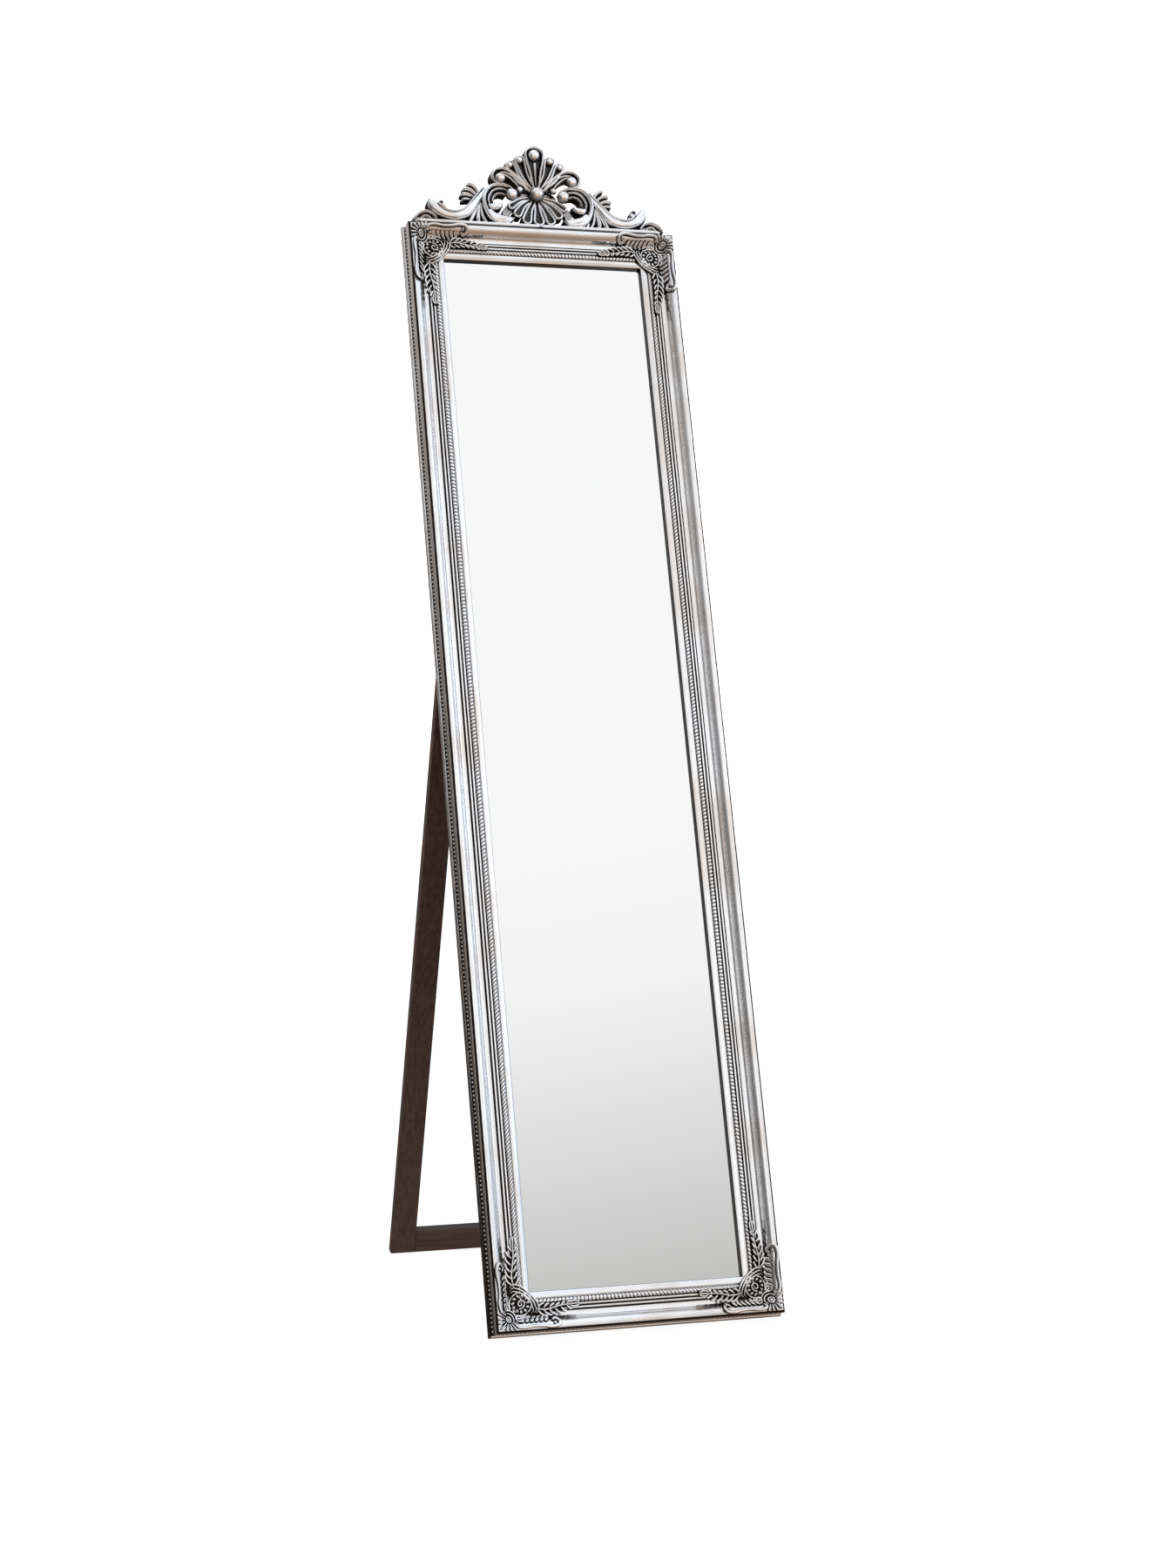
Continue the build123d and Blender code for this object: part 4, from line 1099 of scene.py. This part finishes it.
def dress_solids():
    """Finishes for the pieces whose solids are shown as they are."""
    brass = worked_metal("hinge_brass", *BRASS, 0.32)
    steel = worked_metal("plain_steel", *STEEL, 0.36)
    finishes = {
        "mirror_glass": silvered_glass(), "back_panel": fibre_board(),
        "panel_points": steel, "mitre_nails": steel,
        "crest_dowels": PEG_WOOD, "strut_dowels": PEG_WOOD,
        "strut_left_rail": WOOD_UPRIGHT, "strut_right_rail": WOOD_UPRIGHT,
        "strut_top_rail": WOOD_LEVEL, "strut_bottom_rail": WOOD_LEVEL,
    }
    for name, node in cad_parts.items():
        finish = brass if name.startswith("hinge") else finishes.get(name)
        if finish is not None:
            node.data.materials.clear()
            node.data.materials.append(finish)


# Stage, lights and camera

FLOOR_RADIUS = 11.0
FLOOR_DROP = 0.0005
DOME_RADIUS = 11.5


def emitter(name, colour, strength):
    """A dull surface that glows in its own colour."""
    paint = Paint(name)
    paint.tint(colour, paint.shader.inputs["Emission Color"])
    paint.put(strength, paint.shader.inputs["Emission Strength"])
    paint.put(0.0, paint.shader.inputs["Specular IOR Level"])
    return paint.finish(colour, 0.9)


def stage_surface(name, edit, finish):
    """A surface of the stage; it stays out of reflections, which see the studio's sky."""
    mesh = bpy.data.meshes.new(name)
    edit.to_mesh(mesh)
    edit.free()
    mesh.materials.append(finish)
    stand = bpy.data.objects.new(name, mesh)
    bpy.context.scene.collection.objects.link(stand)
    stand.visible_glossy = False
    return stand


def make_stage():
    """A pale floor and a white dome round it."""
    edit = bmesh.new()
    bmesh.ops.create_circle(edit, cap_ends=True, segments=96, radius=FLOOR_RADIUS)
    floor = stage_surface("floor", edit, emitter("pale_floor", (0.3, 0.3, 0.3), 3.0))
    floor.location.z = -FLOOR_DROP
    edit = bmesh.new()
    bmesh.ops.create_uvsphere(edit, u_segments=64, v_segments=32, radius=DOME_RADIUS)
    dome = stage_surface("dome", edit, emitter("white_dome", (1.0, 1.0, 1.0), 1.0))
    dome.visible_diffuse = False
    dome.visible_shadow = False


# Surroundings as (rise of the direction, colour): ahead of the mirror, to its sides and behind it
ZENITH = (1.0, (1.2, 1.29, 1.4))
WARM_GROUND = ((-1.0, (0.3, 0.21, 0.15)), (-0.7, (0.36, 0.25, 0.18)))
SKY_FRONT = (
    *WARM_GROUND, (-0.35, (0.76, 0.63, 0.53)), (0.1, (1.05, 1.0, 0.95)), (0.3, (1.1, 1.1, 1.1)),
    (0.54, (1.1, 1.1, 1.1)), (0.66, (0.74, 0.76, 0.79)), (0.8, (0.74, 0.76, 0.79)), ZENITH,
)
SKY_RIGHT = ((-1.0, (0.3, 0.27, 0.25)), (-0.15, (0.5, 0.55, 0.62)), (0.1, (0.64, 0.72, 0.84)), ZENITH)
SKY_BACK = (
    (-1.0, (0.1, 0.08, 0.065)), (-0.25, (0.16, 0.13, 0.105)), (0.0, (0.28, 0.24, 0.205)),
    (0.16, (0.52, 0.48, 0.44)), (0.3, (0.36, 0.4, 0.45)), (0.7, (0.36, 0.4, 0.45)), ZENITH,
)
SKY_LEFT = (
    (-1.0, (0.06, 0.05, 0.04)), (-0.2, (0.1, 0.085, 0.07)), (0.2, (0.14, 0.132, 0.128)),
    (0.45, (0.31, 0.305, 0.31)), (0.7, (0.78, 0.79, 0.81)), ZENITH,
)
# A pale wall that the glass shows; it is narrow, and lies across this way
PALE_WALL = (
    *WARM_GROUND, (-0.35, (0.6, 0.48, 0.39)), (0.25, (0.44, 0.43, 0.42)), (0.33, (0.57, 0.57, 0.56)),
    (0.38, (0.75, 0.75, 0.745)), (0.43, (0.93, 0.93, 0.93)), (0.48, (0.97, 0.97, 0.97)),
    (1.0, (1.0, 1.0, 1.0)),
)
PALE_WALL_ACROSS = (0.937, 0.35, 0.0)


class Sky(Nodes):
    """Soft studio surroundings, coloured by direction."""

    def __init__(self):
        world = bpy.data.worlds.new("studio")
        bpy.context.scene.world = world
        world.use_nodes = True
        super().__init__(world.node_tree)
        self.direction = self.node("ShaderNodeTexCoord").outputs["Generated"]
        self.split = self.node("ShaderNodeSeparateXYZ")
        self.put(self.direction, self.split.inputs[0])

    def rising(self, stops):
        """Colours from straight down to straight up."""
        level = self.node("ShaderNodeMapRange")
        self.put(-1.0, level.inputs["From Min"])
        self.put(self.split.outputs["Z"], level.inputs["Value"])
        made = self.node("ShaderNodeValToRGB")
        elements = made.color_ramp.elements
        while len(elements) < len(stops):
            elements.new(0.5)
        for element, (rise, colour) in zip(elements, stops):
            element.position = (rise + 1) / 2
            element.color = (*colour, 1.0)
        self.put(level.outputs["Result"], made.inputs["Fac"])
        return made.outputs["Color"]

    def towards(self, way):
        """How far a direction points a given way."""
        made = self.node("ShaderNodeVectorMath", operation="DOT_PRODUCT")
        self.put(self.direction, made.inputs[0])
        self.put(way, made.inputs[1])
        return made.outputs["Value"]

    def finish(self, colour):
        self.put(colour, self.tree.nodes["Background"].inputs["Color"])


def make_sky():
    """The surroundings that reflections see: each side fades softly into the next."""
    sky = Sky()
    x, y = sky.split.outputs["X"], sky.split.outputs["Y"]
    off_wall = sky.ramp(sky.math("ABSOLUTE", sky.towards(PALE_WALL_ACROSS)), 0.07, 0.12)
    front = sky.mix(off_wall, sky.rising(PALE_WALL), sky.rising(SKY_FRONT))
    front = sky.mix(sky.ramp(x, -0.25, -0.9), front, sky.rising(SKY_LEFT))
    around = sky.mix(sky.ramp(y, 0.0, 0.5), front, sky.rising(SKY_BACK))
    window = sky.math("MULTIPLY", sky.ramp(x, 0.5, 0.85), sky.ramp(y, 0.32, 0.02))
    sky.finish(sky.mix(window, around, sky.rising(SKY_RIGHT)))


def softbox(name, place, aim, size, power):
    """A soft lamp at a place, turned to what it lights."""
    lamp = bpy.data.lights.new(name, "AREA")
    lamp.shape = "RECTANGLE"
    lamp.size, lamp.size_y = size
    lamp.energy = power
    holder = bpy.data.objects.new(name, lamp)
    holder.location = place
    holder.rotation_mode = "QUATERNION"
    holder.rotation_quaternion = (Vector(aim) - Vector(place)).to_track_quat("-Z", "Y")
    bpy.context.scene.collection.objects.link(holder)


PHOTO_HEIGHT = 1800.0
FOCAL_PIXELS = 3098.4
CAMERA_AZIMUTH = radians(-17.948)
CAMERA_RISE = radians(2.389)
CAMERA_ROLL = radians(0.07)
CAMERA_DISTANCE = 3.9276
CAMERA_TARGET = Vector((-0.07502, 0.0, 0.8032))
SENSOR = 36.0


def make_camera():
    """The camera of the photograph."""
    data = bpy.data.cameras.new("camera")
    data.sensor_width = SENSOR
    data.lens = FOCAL_PIXELS / PHOTO_HEIGHT * SENSOR
    data.clip_end = 50.0
    camera = bpy.data.objects.new("camera", data)
    bpy.context.scene.collection.objects.link(camera)
    level = cos(CAMERA_RISE)
    back = Vector((sin(CAMERA_AZIMUTH) * level, -cos(CAMERA_AZIMUTH) * level, sin(CAMERA_RISE)))
    place = Matrix.Translation(CAMERA_TARGET + back * CAMERA_DISTANCE)
    facing = (-back).to_track_quat("-Z", "Y").to_matrix().to_4x4()
    camera.matrix_world = place @ facing @ Matrix.Rotation(CAMERA_ROLL, 4, "Z")
    bpy.context.scene.camera = camera


for rail_side, rail_node in zip(SIDES, ("left_stile", "right_stile", "top_rail", "bottom_rail")):
    make_rail(rail_side, rail_node)
    make_rope(rail_side)
    make_beads(rail_side)
make_crest()
make_corners()
dress_solids()
make_stage()
make_sky()
softbox("key", (2.8, -1.6, 2.4), (0.0, 0.2, 0.9), (1.2, 2.0), 9.0)
softbox("left", (-2.6, 1.3, 1.0), (-0.2, 0.1, 0.9), (0.35, 2.4), 6.0)
make_camera()
bpy.context.scene.view_settings.view_transform = "Standard"
